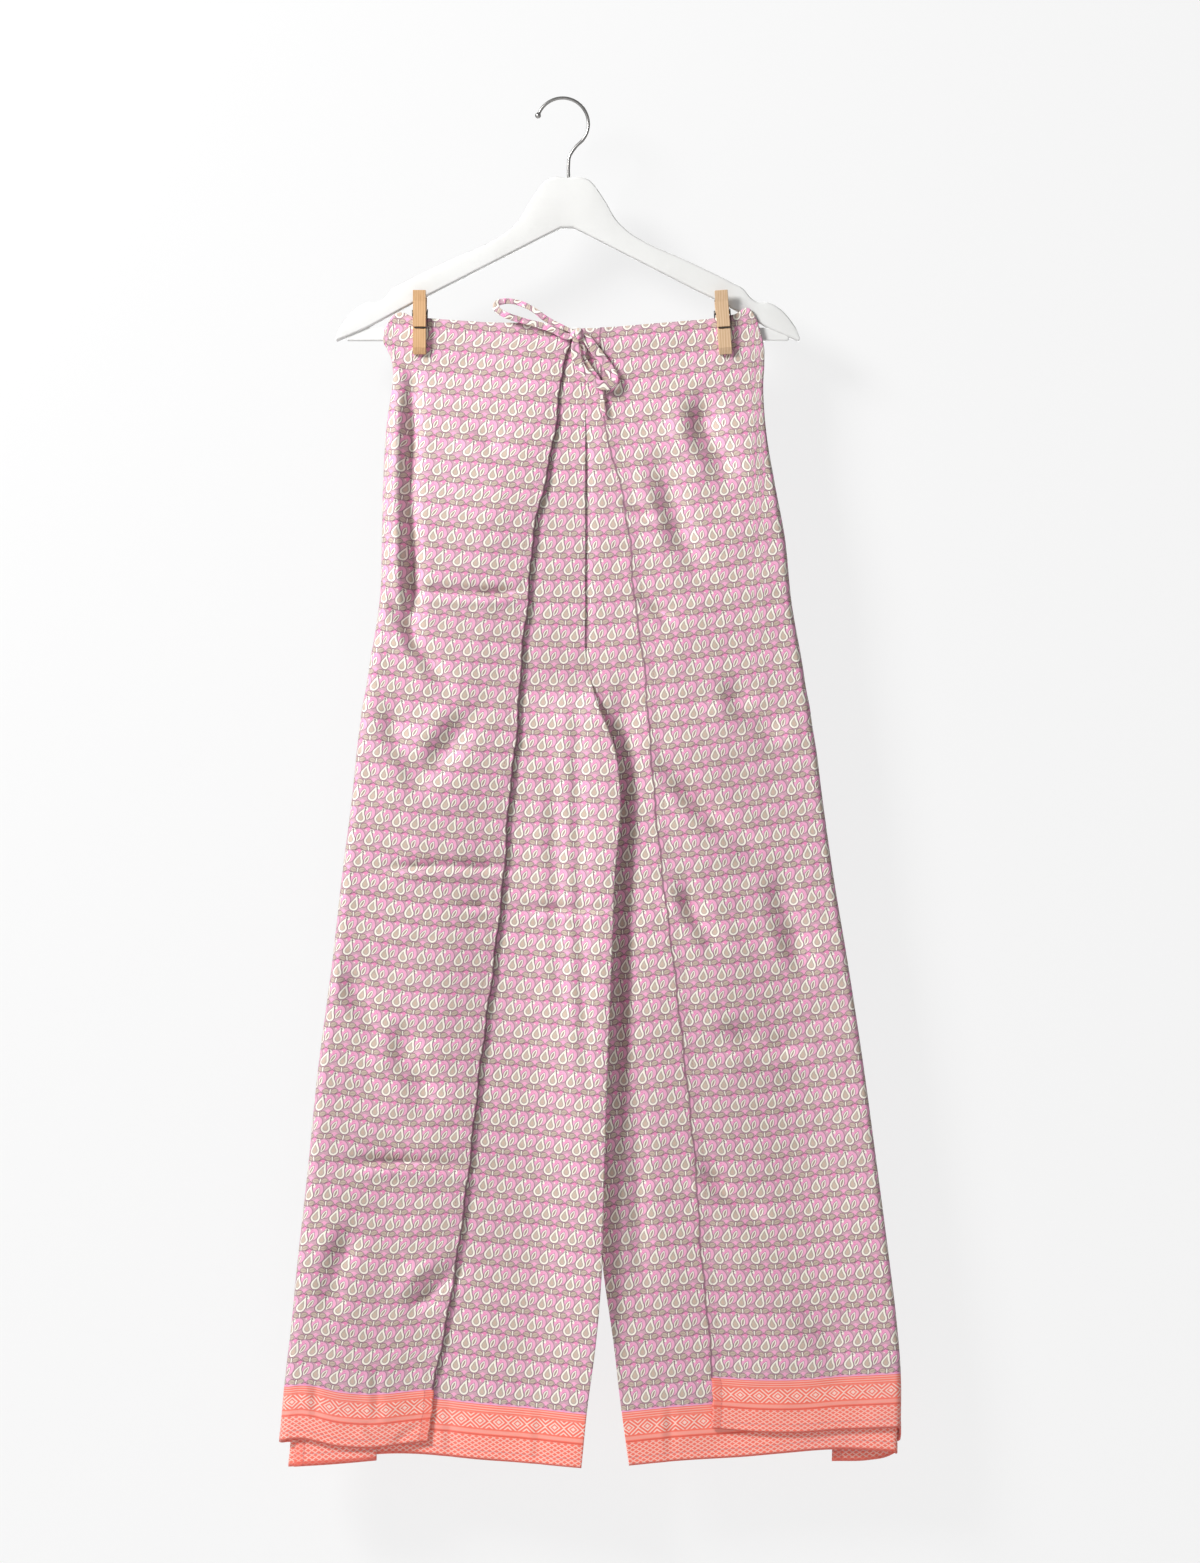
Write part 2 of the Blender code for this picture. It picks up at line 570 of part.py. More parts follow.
def make_hanger():
    half = [(x, -drop) for x, drop in HANGER_HALF]
    outline = [(HANGER_CENTRE_X + x, z) for x, z in half]
    outline += [(HANGER_CENTRE_X - x, z) for x, z in reversed(half)]
    body = extrude_outline("hanger_body", outline, HANGER_THICKNESS, "hanger_paint",
                           HANGER_EDGE_ROUND, 2)

    bar_middle = -(BAR_TOP_DROP + BAR_HEIGHT / 2.0)
    bpy.ops.mesh.primitive_cube_add(size=1.0, location=(HANGER_CENTRE_X, 0.0, bar_middle))
    mortise = bpy.context.object
    mortise.name = "mortise_cutter"
    mortise.scale = (2.0 * (BAR_HALF_LENGTH + MORTISE_CLEARANCE),
                     BAR_THICKNESS + 2.0 * MORTISE_CLEARANCE,
                     BAR_HEIGHT + 2.0 * MORTISE_CLEARANCE)
    mortise.hide_render = True
    mortise.display_type = "WIRE"
    cut = body.modifiers.new("mortises", "BOOLEAN")
    cut.operation = "DIFFERENCE"
    cut.object = mortise

    left, right = HANGER_CENTRE_X - BAR_HALF_LENGTH, HANGER_CENTRE_X + BAR_HALF_LENGTH
    top, bottom = -BAR_TOP_DROP, -BAR_TOP_DROP - BAR_HEIGHT
    extrude_outline("hanger_bar", [(left, top), (right, top), (right, bottom), (left, bottom)],
                    BAR_THICKNESS, "hanger_paint", 0.0010, 2)

    centre_x, centre_drop = HOOK_CENTRE
    angles = np.radians(np.linspace(168.0, -42.0, 24))
    bend = [(centre_x + HOOK_BEND_RADIUS * math.cos(a), 0.0,
             centre_drop - HOOK_BEND_RADIUS * math.sin(a)) for a in angles]
    path = dense_path(bend + [(x, 0.0, drop) for x, drop in HOOK_SHANK], 44)
    from_tip = np.concatenate([[0.0], np.cumsum(np.linalg.norm(np.diff(path, axis=0), axis=1))])
    inside_ball = np.clip(1.0 - ((from_tip - HOOK_BALL_RADIUS) / HOOK_BALL_RADIUS) ** 2, 0.0, 1.0)
    radii = np.maximum(HOOK_WIRE_RADIUS, HOOK_BALL_RADIUS * np.sqrt(inside_ball))
    radii[0] = HOOK_WIRE_RADIUS * 0.6
    add_tube("hanger_hook", round_rings(path, radii, 10), "steel")


# ---------------------------------------------------------------- pegs

def spring_path():
    """One wire: across the front prong, up its side to the coil, through the coil's turns, and
    down the other side across the back prong. Local x, distance from the middle plane, height."""
    side = PEG_WIDTH / 2.0 + 0.0011
    reach = PEG_WIDTH / 2.0 - 0.0012
    low = -PEG_GROOVE_BELOW_PIVOT
    turns = 4.5
    front_arm = [(-reach, -PEG_OUTER, low), (0.0, -PEG_OUTER, low),
                 (side - 0.0006, -PEG_OUTER - 0.0001, low), (side, -PEG_OUTER + 0.0007, low + 0.0006),
                 (side, -0.0090, -0.0090), (side, -0.0062, -0.0030)]
    angle = np.linspace(math.radians(200.0), math.radians(200.0 - 360.0 * turns - 40.0), 34)
    coil_x = np.linspace(side, -side, len(angle))
    coil = [(x, SPRING_COIL_RADIUS * math.cos(a), -SPRING_COIL_RADIUS * math.sin(a))
            for x, a in zip(coil_x, angle)]
    back_arm = [(-x, -y, z) for x, y, z in reversed(front_arm)]
    return np.array(front_arm + coil + back_arm)


def make_peg(side, x, tilt):
    """Two wooden prongs and the spring between them, jaws down over the cloth and the bar."""
    lean = math.radians(tilt)
    pivot = np.array([x, PEG_MIDDLE_Y, -(PEG_TOP_DROP + PEG_PIVOT_BELOW_TOP)])
    turned = np.array([[math.cos(lean), 0.0, -math.sin(lean)],
                       [0.0, 1.0, 0.0],
                       [math.sin(lean), 0.0, math.cos(lean)]])

    for name, sign in (("front", -1.0), ("back", 1.0)):
        ring = [(sign * d, z) for d, z in PRONG_OUTLINE]
        ends = [[(s * PEG_WIDTH / 2.0, d, z) for d, z in ring] for s in (-1.0, 1.0)]
        count = len(ring)
        faces = [list(range(count)), list(reversed(range(count, 2 * count)))]
        faces += [[(i + 1) % count, i, count + i, count + (i + 1) % count] for i in range(count)]
        points = np.array(ends[0] + ends[1]) @ turned.T + pivot
        prong = add_mesh("peg_%s_%s" % (side, name), points.tolist(), faces, "peg_wood")
        edge = prong.modifiers.new("edge", "BEVEL")
        edge.width = 0.00035
        edge.segments = 1
        edge.limit_method = "ANGLE"
        edge.angle_limit = math.radians(40)

    wire = spring_path() @ turned.T + pivot
    radii = np.full(len(wire), SPRING_WIRE_RADIUS)
    add_tube("peg_%s_spring" % side, round_rings(wire, radii, 6), "steel")


# ---------------------------------------------------------------- the whole object

for item in list(bpy.data.objects):
    bpy.data.objects.remove(item)

for side_name, flap_hem, front_hem in (("left", LEFT_FLAP_HEM, LEFT_FRONT_HEM),
                                       ("right", RIGHT_FLAP_HEM, RIGHT_FRONT_HEM)):
    make_back_panel(side_name)
    make_front_panel(side_name, front_hem)
    make_flap(side_name, flap_hem)
make_left_tail()
make_right_tail()
make_ties()
make_hanger()
for peg in PEGS:
    make_peg(*peg)
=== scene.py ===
# %% [markdown]
# # Wrap trousers pegged on a coat hanger
# The trousers are a wrap garment: two legs sewn from a wide back piece and a front piece, with no
# side seams. The back pieces come round the outside of the legs and cross over the front as two
# flaps, tied at the waist with a bow. Two wooden pegs hold the waist on a white coat hanger.
# The solids of the design are loaded first, because every piece here keeps to their places.

# %% The frame of designed solids
import math

import bmesh
import bpy
import numpy as np
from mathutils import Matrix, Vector


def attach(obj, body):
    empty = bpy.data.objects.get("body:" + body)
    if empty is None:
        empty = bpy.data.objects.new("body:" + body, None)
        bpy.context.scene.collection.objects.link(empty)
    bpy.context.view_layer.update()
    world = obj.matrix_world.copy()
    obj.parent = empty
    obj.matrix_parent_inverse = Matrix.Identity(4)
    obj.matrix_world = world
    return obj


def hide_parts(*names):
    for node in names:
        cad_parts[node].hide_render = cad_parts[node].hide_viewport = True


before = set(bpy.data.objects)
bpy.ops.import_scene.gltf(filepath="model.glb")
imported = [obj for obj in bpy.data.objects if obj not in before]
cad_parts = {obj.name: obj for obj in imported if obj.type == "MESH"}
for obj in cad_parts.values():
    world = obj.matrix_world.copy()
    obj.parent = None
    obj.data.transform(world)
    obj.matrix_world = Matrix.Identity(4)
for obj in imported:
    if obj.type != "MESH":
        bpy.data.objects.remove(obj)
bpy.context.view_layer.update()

# %% [markdown]
# The camera looks straight at the front from 3.5 m away with a long lens, as clothes on
# a wall are often shown: from so far off, the near and the far layers keep the same scale.
# It could also be an orthographic camera, but the slight perspective shows the depth of the hanger.

# %% Camera
VIEW_DISTANCE = 3.5
VIEW_HEIGHT = 1.446          # how much of the scene's height is seen at the cloth
VIEW_CENTRE = (0.0352, -0.633)
SENSOR = 0.036
CLOTH_Y = -0.012             # about the middle of the layers


def put_in_scene(name, data):
    """A new object with this data, linked to the scene."""
    item = bpy.data.objects.new(name, data)
    bpy.context.scene.collection.objects.link(item)
    return item


lens = bpy.data.cameras.new("studio_camera")
lens.sensor_width = SENSOR * 1000.0
lens.lens = SENSOR * 1000.0 * VIEW_DISTANCE / VIEW_HEIGHT
camera = put_in_scene("studio_camera", lens)
camera.location = (VIEW_CENTRE[0], CLOTH_Y - VIEW_DISTANCE, VIEW_CENTRE[1])
camera.rotation_euler = (math.radians(90.0), 0.0, 0.0)
bpy.context.scene.camera = camera
print("lens %.1f mm" % lens.lens)

# %% [markdown]
# Every new piece is a surface worked out with numpy: a grid of points, rows by columns, joined
# into four-sided faces. One function does this for open sheets and for closed tubes. It could be
# done point by point with bmesh, but whole arrays are faster and leave the formula in plain sight.

# %% From grids of points to mesh objects
def grid_faces(rows, columns, closed_round=False, flip=False):
    """Quads between neighbours of a rows x columns grid: (r, c), (r, c+1), (r+1, c+1), (r+1, c).
    closed_round joins the last column to the first; flip turns the faces over."""
    number = np.arange(rows * columns).reshape(rows, columns)
    if closed_round:
        number = np.concatenate([number, number[:, :1]], axis=1)
    quads = np.stack([number[:-1, :-1], number[:-1, 1:], number[1:, 1:], number[1:, :-1]], axis=-1)
    quads = quads.reshape(-1, 4)
    return quads[:, ::-1] if flip else quads


def add_piece(name, points, faces, finish, maps=None):
    """A smooth-shaded mesh object. maps holds a (u, v) pair per point for each UV map's name."""
    mesh = bpy.data.meshes.new(name)
    mesh.from_pydata(np.asarray(points, float).reshape(-1, 3).tolist(), [],
                     [list(map(int, face)) for face in faces])
    for map_name, pairs in (maps or {}).items():
        corner = np.empty(len(mesh.loops), dtype=np.int64)
        mesh.loops.foreach_get("vertex_index", corner)
        layer = mesh.uv_layers.new(name=map_name)
        layer.data.foreach_set("uv", np.asarray(pairs, np.float32).reshape(-1, 2)[corner].ravel())
    mesh.shade_smooth()
    mesh.materials.append(finish)
    piece = put_in_scene(name, mesh)
    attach(piece, "root")
    return piece


def add_tube(name, rings, finish, maps=None):
    """Rings of points (along, round, 3) closed into one skin, with a flat cap at each end."""
    count, sides = rings.shape[:2]
    faces = grid_faces(count, sides, closed_round=True).tolist()
    faces.append(list(range(sides))[::-1])
    faces.append([(count - 1) * sides + j for j in range(sides)])
    piece = add_piece(name, rings, faces, finish, maps)
    turn_outwards(piece)
    return piece


def turn_outwards(piece):
    """Recalculates the faces of one closed skin so that they all point out of it."""
    shape = bmesh.new()
    shape.from_mesh(piece.data)
    bmesh.ops.recalc_face_normals(shape, faces=shape.faces)
    shape.to_mesh(piece.data)
    shape.free()

# %% [markdown]
# Materials are built from nodes. The print of the cloth needs arithmetic on flat cloth
# coordinates, so a small class lets a formula be written as a formula: each sum or product of
# two wires adds a Math node to the material. The other way, a picture of the print, would hold a
# fixed number of dots, while a formula stays sharp at any distance.

# %% Arithmetic on wires between nodes
class Wire:
    """A number that flows between the nodes of one material."""

    def __init__(self, tree, socket):
        self.tree = tree
        self.socket = socket

    def math(self, operation, *others):
        node = new_node(self.tree, "Math", *enumerate((self, *others)))
        node.operation = operation
        return Wire(self.tree, node.outputs[0])

    def __add__(self, other):
        return self.math("ADD", other)

    def __sub__(self, other):
        return self.math("SUBTRACT", other)

    def __mul__(self, other):
        return self.math("MULTIPLY", other)

    def __truediv__(self, other):
        return self.math("DIVIDE", other)

    def __abs__(self):
        return self.math("ABSOLUTE")


def new_node(tree, kind, *sockets):
    """A shader node, with pairs of an input's name or number and a wire to link or a plain
    value to write there."""
    node = tree.nodes.new("ShaderNode" + kind)
    for key, value in sockets:
        if isinstance(value, Wire):
            tree.links.new(value.socket, node.inputs[key])
        else:
            node.inputs[key].default_value = value
    return node


def rise(wire, low, high):
    """0 below low, 1 above high and a straight ramp between them; falls when low > high."""
    node = new_node(wire.tree, "MapRange", ("Value", wire), ("From Min", low), ("From Max", high))
    return Wire(wire.tree, node.outputs["Result"])


def band(wire, low, high, soft):
    """1 between low and high, fading to 0 over soft on both sides."""
    return rise(wire, low - soft, low + soft) * rise(wire, high + soft, high - soft)


def paint(under, colour, mask):
    """Lays a colour, or another colour wire, over the colour under it where mask is 1."""
    node = mask.tree.nodes.new("ShaderNodeMix")
    node.data_type = "RGBA"
    mask.tree.links.new(mask.socket, node.inputs["Factor"])
    for place, value in ((node.inputs["A"], under), (node.inputs["B"], colour)):
        if isinstance(value, Wire):
            mask.tree.links.new(value.socket, place)
        else:
            place.default_value = shade(value)
    return Wire(mask.tree, node.outputs["Result"])


def paint_steps(colour, *steps):
    """Lays colours one over another. A step is a colour, a wire, where its rise starts and ends,
    and a strength if that is less than 1."""
    for over, wire, low, high, *strength in steps:
        mask = rise(wire, low, high)
        colour = paint(colour, over, mask * strength[0] if strength else mask)
    return colour


def shade(colour):
    """A colour given as it looks on a screen, 0 to 255, as the linear numbers a shader takes."""
    part = np.asarray(colour, float) / 255.0
    linear = np.where(part <= 0.04045, part / 12.92, ((part + 0.055) / 1.055) ** 2.4)
    return (*linear.tolist(), 1.0)


def new_finish(name):
    """An empty Principled material: returns the material, its node tree and its shader."""
    finish = bpy.data.materials.new(name)
    finish.use_nodes = True
    return finish, finish.node_tree, finish.node_tree.nodes["Principled BSDF"]


def split(tree, vector):
    """The X, Y and Z wires of a vector socket."""
    node = new_node(tree, "SeparateXYZ", ("Vector", Wire(tree, vector)))
    return [Wire(tree, node.outputs[k]) for k in range(3)]


def noise(tree, vector, scale, detail=2.0, stretch=(1.0, 1.0, 1.0)):
    """Soft random values about 0.5 on a vector, whose axes can be stretched first."""
    place = new_node(tree, "Mapping", ("Scale", stretch), ("Vector", Wire(tree, vector)))
    node = new_node(tree, "TexNoise", ("Scale", scale), ("Detail", detail),
                    ("Vector", Wire(tree, place.outputs["Vector"])))
    return Wire(tree, node.outputs["Fac"])


def coat(tree, shader, colour, roughness):
    """Links a colour wire and a roughness wire to the shader."""
    tree.links.new(colour.socket, shader.inputs["Base Color"])
    tree.links.new(roughness.socket, shader.inputs["Roughness"])


def emboss(shader, height, distance, strength=1.0):
    """Sends a height wire, 0 to 1 for distance metres, to the shader's normal."""
    node = new_node(height.tree, "Bump", ("Strength", strength), ("Distance", distance),
                    ("Height", height))
    height.tree.links.new(node.outputs["Normal"], shader.inputs["Normal"])

# %% [markdown]
# The print is a block-style repeat of small paisleys on a dusky ground, each under a pink arch. A
# cell is 17 mm wide and 20 mm high, every second row moved over by half a cell. Above a paisley's
# shoulder is a curl, beside it a slim leaf, and between the rows a garland of taupe leaves.
# Distances are in millimetres of flat cloth, so the print follows the weave wherever it goes.

# %% The repeat
CELL_WIDTH = 17.1            # mm
CELL_HEIGHT = 20.3
GARLAND_BELOW = 9.7          # mm from a paisley's middle down to the garland
LEAF_HALF = (1.7, 4.4)       # half width and half length of the slim leaf, mm
LEAF_LEAN = 24.0             # degrees
GROUND = (206, 164, 178)
PINK = (240, 170, 204)
DEEP_PINK = (236, 142, 188)
CREAM = (246, 241, 228)
TAUPE = (200, 182, 166)
WARM_TAUPE = (210, 182, 164)
OUTLINE = (104, 66, 82)


def cell_places(u, v, raise_by):
    """(a, b) from the middle of a cell, in mm: rows are CELL_HEIGHT apart, and every second row
    is moved half a cell: a = w (fract(u/w + row/2) - 1/2)."""
    row = (v + raise_by) / CELL_HEIGHT
    level = row.math("FLOOR")
    across = (u / CELL_WIDTH + level * 0.5).math("FRACT")
    return (across - 0.5) * CELL_WIDTH, (row - level - 0.5) * CELL_HEIGHT


def length_of(x, y):
    return (x * x + y * y).math("SQRT")


def leaf_shape(a, b, middle, half, lean):
    """Pointed leaf: |across| / half width + (along / half length)^2, so 1 is its edge."""
    tilt = math.radians(lean)
    x = a - middle[0]
    y = b - middle[1]
    along = x * math.sin(tilt) + y * math.cos(tilt)
    across = x * math.cos(tilt) - y * math.sin(tilt)
    return abs(across / half[0]) + (along * along) / half[1] ** 2, across


def paisley_shape(a, b):
    """Drop with a bent tip: distance from the middle of its round end over the outline's distance
    R = 4.3 / sin(min(angle from the tip + 26.8 degrees, 90)), so 1 is its edge."""
    rise_up = (b + 2.4).math("MAXIMUM", 0.0)
    x = a - rise_up * rise_up * 0.032 - 0.1
    y = b + 2.4
    angle = abs(x.math("ARCTAN2", y)) + math.radians(26.8)
    outline = angle.math("MINIMUM", math.radians(90.0)).math("SINE")
    return length_of(x, y) * outline / 4.3


def paisley_rows(u, v, ground):
    """Paints the paisleys, their curls and the slim leaves between them."""
    a, b = cell_places(u, v, 0.0)
    between = abs(abs(a) - CELL_WIDTH / 2.0)
    arch = length_of(between / 5.0, (b - 2.6) / 5.6)
    ground = paint_steps(
        ground,
        (OUTLINE, arch, 1.16, 1.06, 0.5),
        (PINK, arch, 1.02, 0.90))
    drop = paisley_shape(a, b)
    slim_left, across_left = leaf_shape(a, b, (-9.4, 0.2), LEAF_HALF, LEAF_LEAN)
    slim_right, across_right = leaf_shape(a, b, (CELL_WIDTH - 9.4, 0.2), LEAF_HALF, LEAF_LEAN)
    slim = slim_left.math("MINIMUM", slim_right)
    colour = paint_steps(
        ground,
        (OUTLINE, slim, 1.55, 1.35, 0.7),
        (CREAM, slim, 1.20, 1.05),
        (TAUPE, slim, 0.62, 0.50))
    vein = abs(across_left).math("MINIMUM", abs(across_right))
    colour = paint(colour, OUTLINE, rise(vein, 0.40, 0.20) * rise(slim, 0.60, 0.48) * 0.8)
    hook = abs(length_of(a - 7.6, b - 5.2) - 1.1)
    colour = paint(colour, DEEP_PINK, rise(hook, 0.6, 0.3))

    from_curl = length_of(a - 3.5, b - 6.2)
    colour = paint(colour, OUTLINE, rise(from_curl, 2.6, 2.3) * rise(b, 4.0, 5.0) * 0.75)
    ring = abs(from_curl - 1.75)
    colour = paint(colour, CREAM, rise(ring, 0.60, 0.40) * rise(b, 5.2, 6.0))
    colour = paint(colour, CREAM, rise(length_of(a - 4.9, b - 5.6), 1.25, 1.05))
    colour = paint(colour, CREAM, rise(length_of(a + 1.9, b - 6.9), 0.75, 0.55) * 0.8)

    return paint_steps(
        colour,
        (OUTLINE, drop, 1.20, 1.12, 0.75),
        (CREAM, drop, 1.03, 0.97),
        (OUTLINE, drop, 0.63, 0.58, 0.8),
        (TAUPE, drop, 0.55, 0.50),
        (WARM_TAUPE, drop, 0.34, 0.20, 0.8))


def garland_rows(u, v):
    """Dusky ground with a garland between the rows: a pair of taupe leaves and a cream stem under
    each paisley, and two pink diamonds between the pairs. The garland has its own cells, moved
    so that it runs through their middles."""
    a, b = cell_places(u, v, GARLAND_BELOW)
    between = abs(abs(a) - CELL_WIDTH / 2.0)
    vine = abs(abs(b) - between * 0.55 - 0.4)
    colour = paint(GROUND, OUTLINE, rise(vine, 0.60, 0.30) * rise(between, 4.5, 3.5) * 0.8)
    colour = paint(colour, PINK, rise(between / 3.8 + abs(b - 2.3) / 2.1, 1.1, 0.9))
    colour = paint(colour, DEEP_PINK, rise(between / 3.6 + abs(b + 2.7) / 2.0, 1.1, 0.9))
    for side in (-1.0, 1.0):
        leaf, across = leaf_shape(a, b, (side * 3.8, 0.3), (2.4, 3.6), side * 72.0)
        colour = paint_steps(
            colour,
            (OUTLINE, leaf, 1.16, 1.04, 0.9),
            (TAUPE, leaf, 0.94, 0.82))
        vein = rise(abs(across), 0.30, 0.12) * rise(leaf, 0.8, 0.6)
        colour = paint(colour, OUTLINE, vein * 0.5)
    stem = (abs(a) / 0.62).math("MAXIMUM", abs(b + 0.2) / 2.3)
    return paint_steps(
        colour,
        (OUTLINE, stem, 1.75, 1.5),
        (CREAM, stem, 1.15, 0.85))

# %% [markdown]
# Round each leg's hem runs a coral border, 48 mm deep, woven or printed in one colour on another:
# thin stripes, a chain of nested diamonds, and a fine lattice down to the edge. It is drawn on the
# same flat coordinates, measured up from the hem.

# %% The border at the hem
BORDER = 48.0                # mm
CORAL = (252, 116, 96)
CORAL_LIGHT = (255, 218, 206)
CORAL_DARK = (226, 92, 74)


def border(u, v):
    """Coral stripes above, then diamonds, a plain stripe and a lattice: v is the height over the
    hem in mm."""
    fine = ((v + 0.4) / 2.1).math("FRACT")
    stripes = band(fine, 0.20, 0.62, 0.12) * band(v, 40.6, 47.4, 0.3)
    colour = paint(CORAL, CORAL_LIGHT, stripes * 0.6)

    chain = abs((u / 17.4).math("FRACT") - 0.5) * 2.0 + abs(v - 33.6) / 7.0
    nested = abs(((chain - 0.30) / 0.50).math("FRACT") - 0.5) * 2.0
    chain_rows = band(v, 27.2, 40.0, 0.3)
    colour = paint(colour, CORAL_LIGHT, rise(nested, 0.50, 0.30) * chain_rows * 0.95)
    colour = paint(colour, CORAL_LIGHT, rise(chain, 0.30, 0.22) * chain_rows * 0.9)
    colour = paint(colour, CORAL_LIGHT, band(v, 22.6, 25.8, 0.4) * 0.35)
    colour = paint(colour, CORAL_DARK, band(v, 20.9, 21.7, 0.3) * 0.9)

    wave = abs((u / 6.4).math("FRACT") - 0.5) * 3.9
    zigzag = abs(((v + wave) / 3.9).math("FRACT") - 0.5) * 2.0
    other = abs(((v - wave) / 3.9).math("FRACT") - 0.5) * 2.0
    lines = rise(zigzag.math("MINIMUM", other), 0.36, 0.16) * rise(v, 20.6, 20.0)
    colour = paint(colour, CORAL_LIGHT, lines * 0.75)
    return paint(colour, CORAL_DARK, rise(v, 1.6, 0.8) * 0.8)

# %% [markdown]
# The cloth is a light, slightly glossy plain weave. The finish has the print, a faint change of
# tone over the width, a sheen, the weave's threads and fine puckers as bump, the rows of
# stitches beside the hems, and a painted shade along the free edges, where they stand over the
# cloth under them. The stitches sit 8.5 mm in from an edge, where the turned hem ends.

# %% Cloth finish
FIRST_ROW = 3.1              # mm from the border up to the first garland's cell
STITCH_IN = 8.5              # mm from the edge
STITCH_PITCH = 3.2
THREAD = (150, 96, 124)
FADED = (196, 160, 172)


def stitches(along, inwards, at):
    """Short dashes along a line: 1 on the thread."""
    dash = band((along / STITCH_PITCH).math("FRACT"), 0.2, 0.75, 0.08)
    return dash * band(inwards, at - 0.35, at + 0.35, 0.15)


def flat_wires(tree, uv_map):
    """The socket of a UV map, and wires of its two coordinates in mm."""
    node = tree.nodes.new("ShaderNodeUVMap")
    node.uv_map = uv_map
    first, second, _ = split(tree, node.outputs["UV"])
    return node.outputs["UV"], first * 1000.0, second * 1000.0


def make_cloth():
    finish, tree, shader = new_finish("print_cloth")
    on_cloth, u, v = flat_wires(tree, "Cloth")
    _, from_side, from_top = flat_wires(tree, "Edges")

    raised = v - BORDER
    print_rows = paisley_rows(u, raised - FIRST_ROW, garland_rows(u, raised - FIRST_ROW))
    scallop = abs(((u / (CELL_WIDTH / 2.0)).math("FRACT") - 0.5) * 2.0) * 1.4
    print_rows = paint(print_rows, PINK, rise(raised + scallop, 2.3, 1.9))
    colour = paint(border(u, v), print_rows, rise(v, BORDER - 0.2, BORDER + 0.2))

    side_thread = stitches(v, from_side, STITCH_IN)
    top_thread = stitches(u, from_top, STITCH_IN)
    hem_thread = stitches(u, v, STITCH_IN - 1.5)
    thread = side_thread.math("MAXIMUM", top_thread).math("MAXIMUM", hem_thread)
    colour = paint(colour, THREAD, thread * 0.45)

    turned = rise(from_side, 9.8, 9.0)
    colour = paint(colour, CORAL_DARK, turned * rise(v, BORDER, BORDER - 0.6) * 0.35)
    # Painted shade: a dark strip about 2 mm wide along each free edge above the border, where the
    # edge stands over the layer under it, with a faint darker tone on the turned hem strip added.
    edge_shade_and_hem_tone = rise(from_side, 2.2, 1.4) * 0.75 + turned * 0.08
    colour = paint(colour, OUTLINE, edge_shade_and_hem_tone * rise(v, BORDER - 0.6, BORDER))
    patches = noise(tree, on_cloth, 9.0, 2.0)
    colour = paint(colour, FADED, rise(patches, 0.45, 0.8) * 0.12)

    coat(tree, shader, colour, noise(tree, on_cloth, 60.0, 3.0) * 0.14 + 0.44)
    shader.inputs["Sheen Weight"].default_value = 0.35
    shader.inputs["Sheen Roughness"].default_value = 0.45
    shader.inputs["Specular IOR Level"].default_value = 0.45

    warp = (u * (2.0 * math.pi / 0.45)).math("SINE")
    weft = (v * (2.0 * math.pi / 0.50)).math("SINE")
    puckers = noise(tree, on_cloth, 55.0, 3.0, (1.0, 1.6, 1.0))
    rumples = noise(tree, on_cloth, 17.0, 2.0, (1.0, 2.0, 1.0))
    height = puckers * 0.8 + rumples * 2.4 + warp * weft * 0.02 - thread * 0.2
    emboss(shader, height, 0.0024, 0.6)
    return finish


cloth_finish = make_cloth()
print("cloth nodes", len(cloth_finish.node_tree.nodes))

# %% [markdown]
# The garment's outline comes from a few tables: how far out the folds, the free edges and the
# inner legs lie at each height, and how far forward each layer hangs. "drop" is the distance
# below the top of the hook's inside, "left" and "right" are the viewer's, and the front faces -Y.
# Between a table's rows a smooth curve is read, as a pattern cutter joins marks with a French curve.

# %% Curves and tables
TOP_DROP = 0.205
HEM_DROP = 1.246
TAIL_TOP_DROP = 0.350        # the wrapped-in sides are modelled from where the layers hang apart
CROTCH_DROP = 0.545
EDGE_SHAPE_POWER = 3         # how fast the rows forget the shape of the waist and of the hem


def millimetres(*rows):
    """Rows of numbers written in mm, as an array in metres."""
    return np.array(rows, float) / 1000.0


WIDTH_COLUMNS = ("left_fold", "left_flap_edge", "left_leg_inner",
                 "right_leg_inner", "right_flap_edge", "right_fold")
WIDTHS = millimetres(
    # drop, then the columns above, in mm
    (205, -165, 10, 21.9, 21.9, 35, 181),
    (216, -165, 10, 21.9, 21.9, 35, 186),
    (235, -158, 3, 21.9, 21.9, 35, 187),
    (256, -156, 0, 21.9, 21.9, 35, 186),
    (300, -162, -5, 21.9, 21.9, 39, 189),
    (350, -165, -14, 21.9, 21.9, 52, 197),
    (400, -166, -25, 21.9, 21.9, 61, 206),
    (460, -168, -30, 21.9, 21.9, 66, 212),
    (525, -178, -37, 24.3, 24.3, 75, 223),
    (545, -181, -38, 29.3, 29.3, 77, 226),
    (560, -184, -39, 33.5, 34.1, 78, 229),
    (575, -186, -40, 40, 33.5, 79, 231),
    (600, -189, -42, 49, 30, 81, 235),
    (640, -193, -47, 54, 28, 84, 240),
    (720, -203, -53, 49, 26, 92, 251),
    (800, -212, -62, 46, 26, 102, 264),
    (900, -225, -75, 42, 27, 113, 279),
    (1000, -235, -86, 39, 31, 123, 292),
    (1080, -244, -97, 36.5, 39, 128, 302),
    (1140, -250, -107, 31, 48, 134, 309),
    (1190, -256, -117, 24, 54, 138, 313),
    (1246, -261, -123, 18, 62, 139, 313),
)
WAIST_EDGE = millimetres(
    # x, drop
    (-165, 215.7), (-158, 203), (-150, 198.5), (-138, 202.5), (-125, 203.7), (-74, 207.4),
    (-4, 211.1), (9, 213.9), (22, 212.9), (45, 212), (79, 209.2), (112, 206.5), (142, 203.7),
    (159, 200.5), (176, 197.2), (181, 206.5), (188, 219),
)
HIDDEN_WAIST_DROP = 0.2130   # the layers behind stay below the arms of the hanger
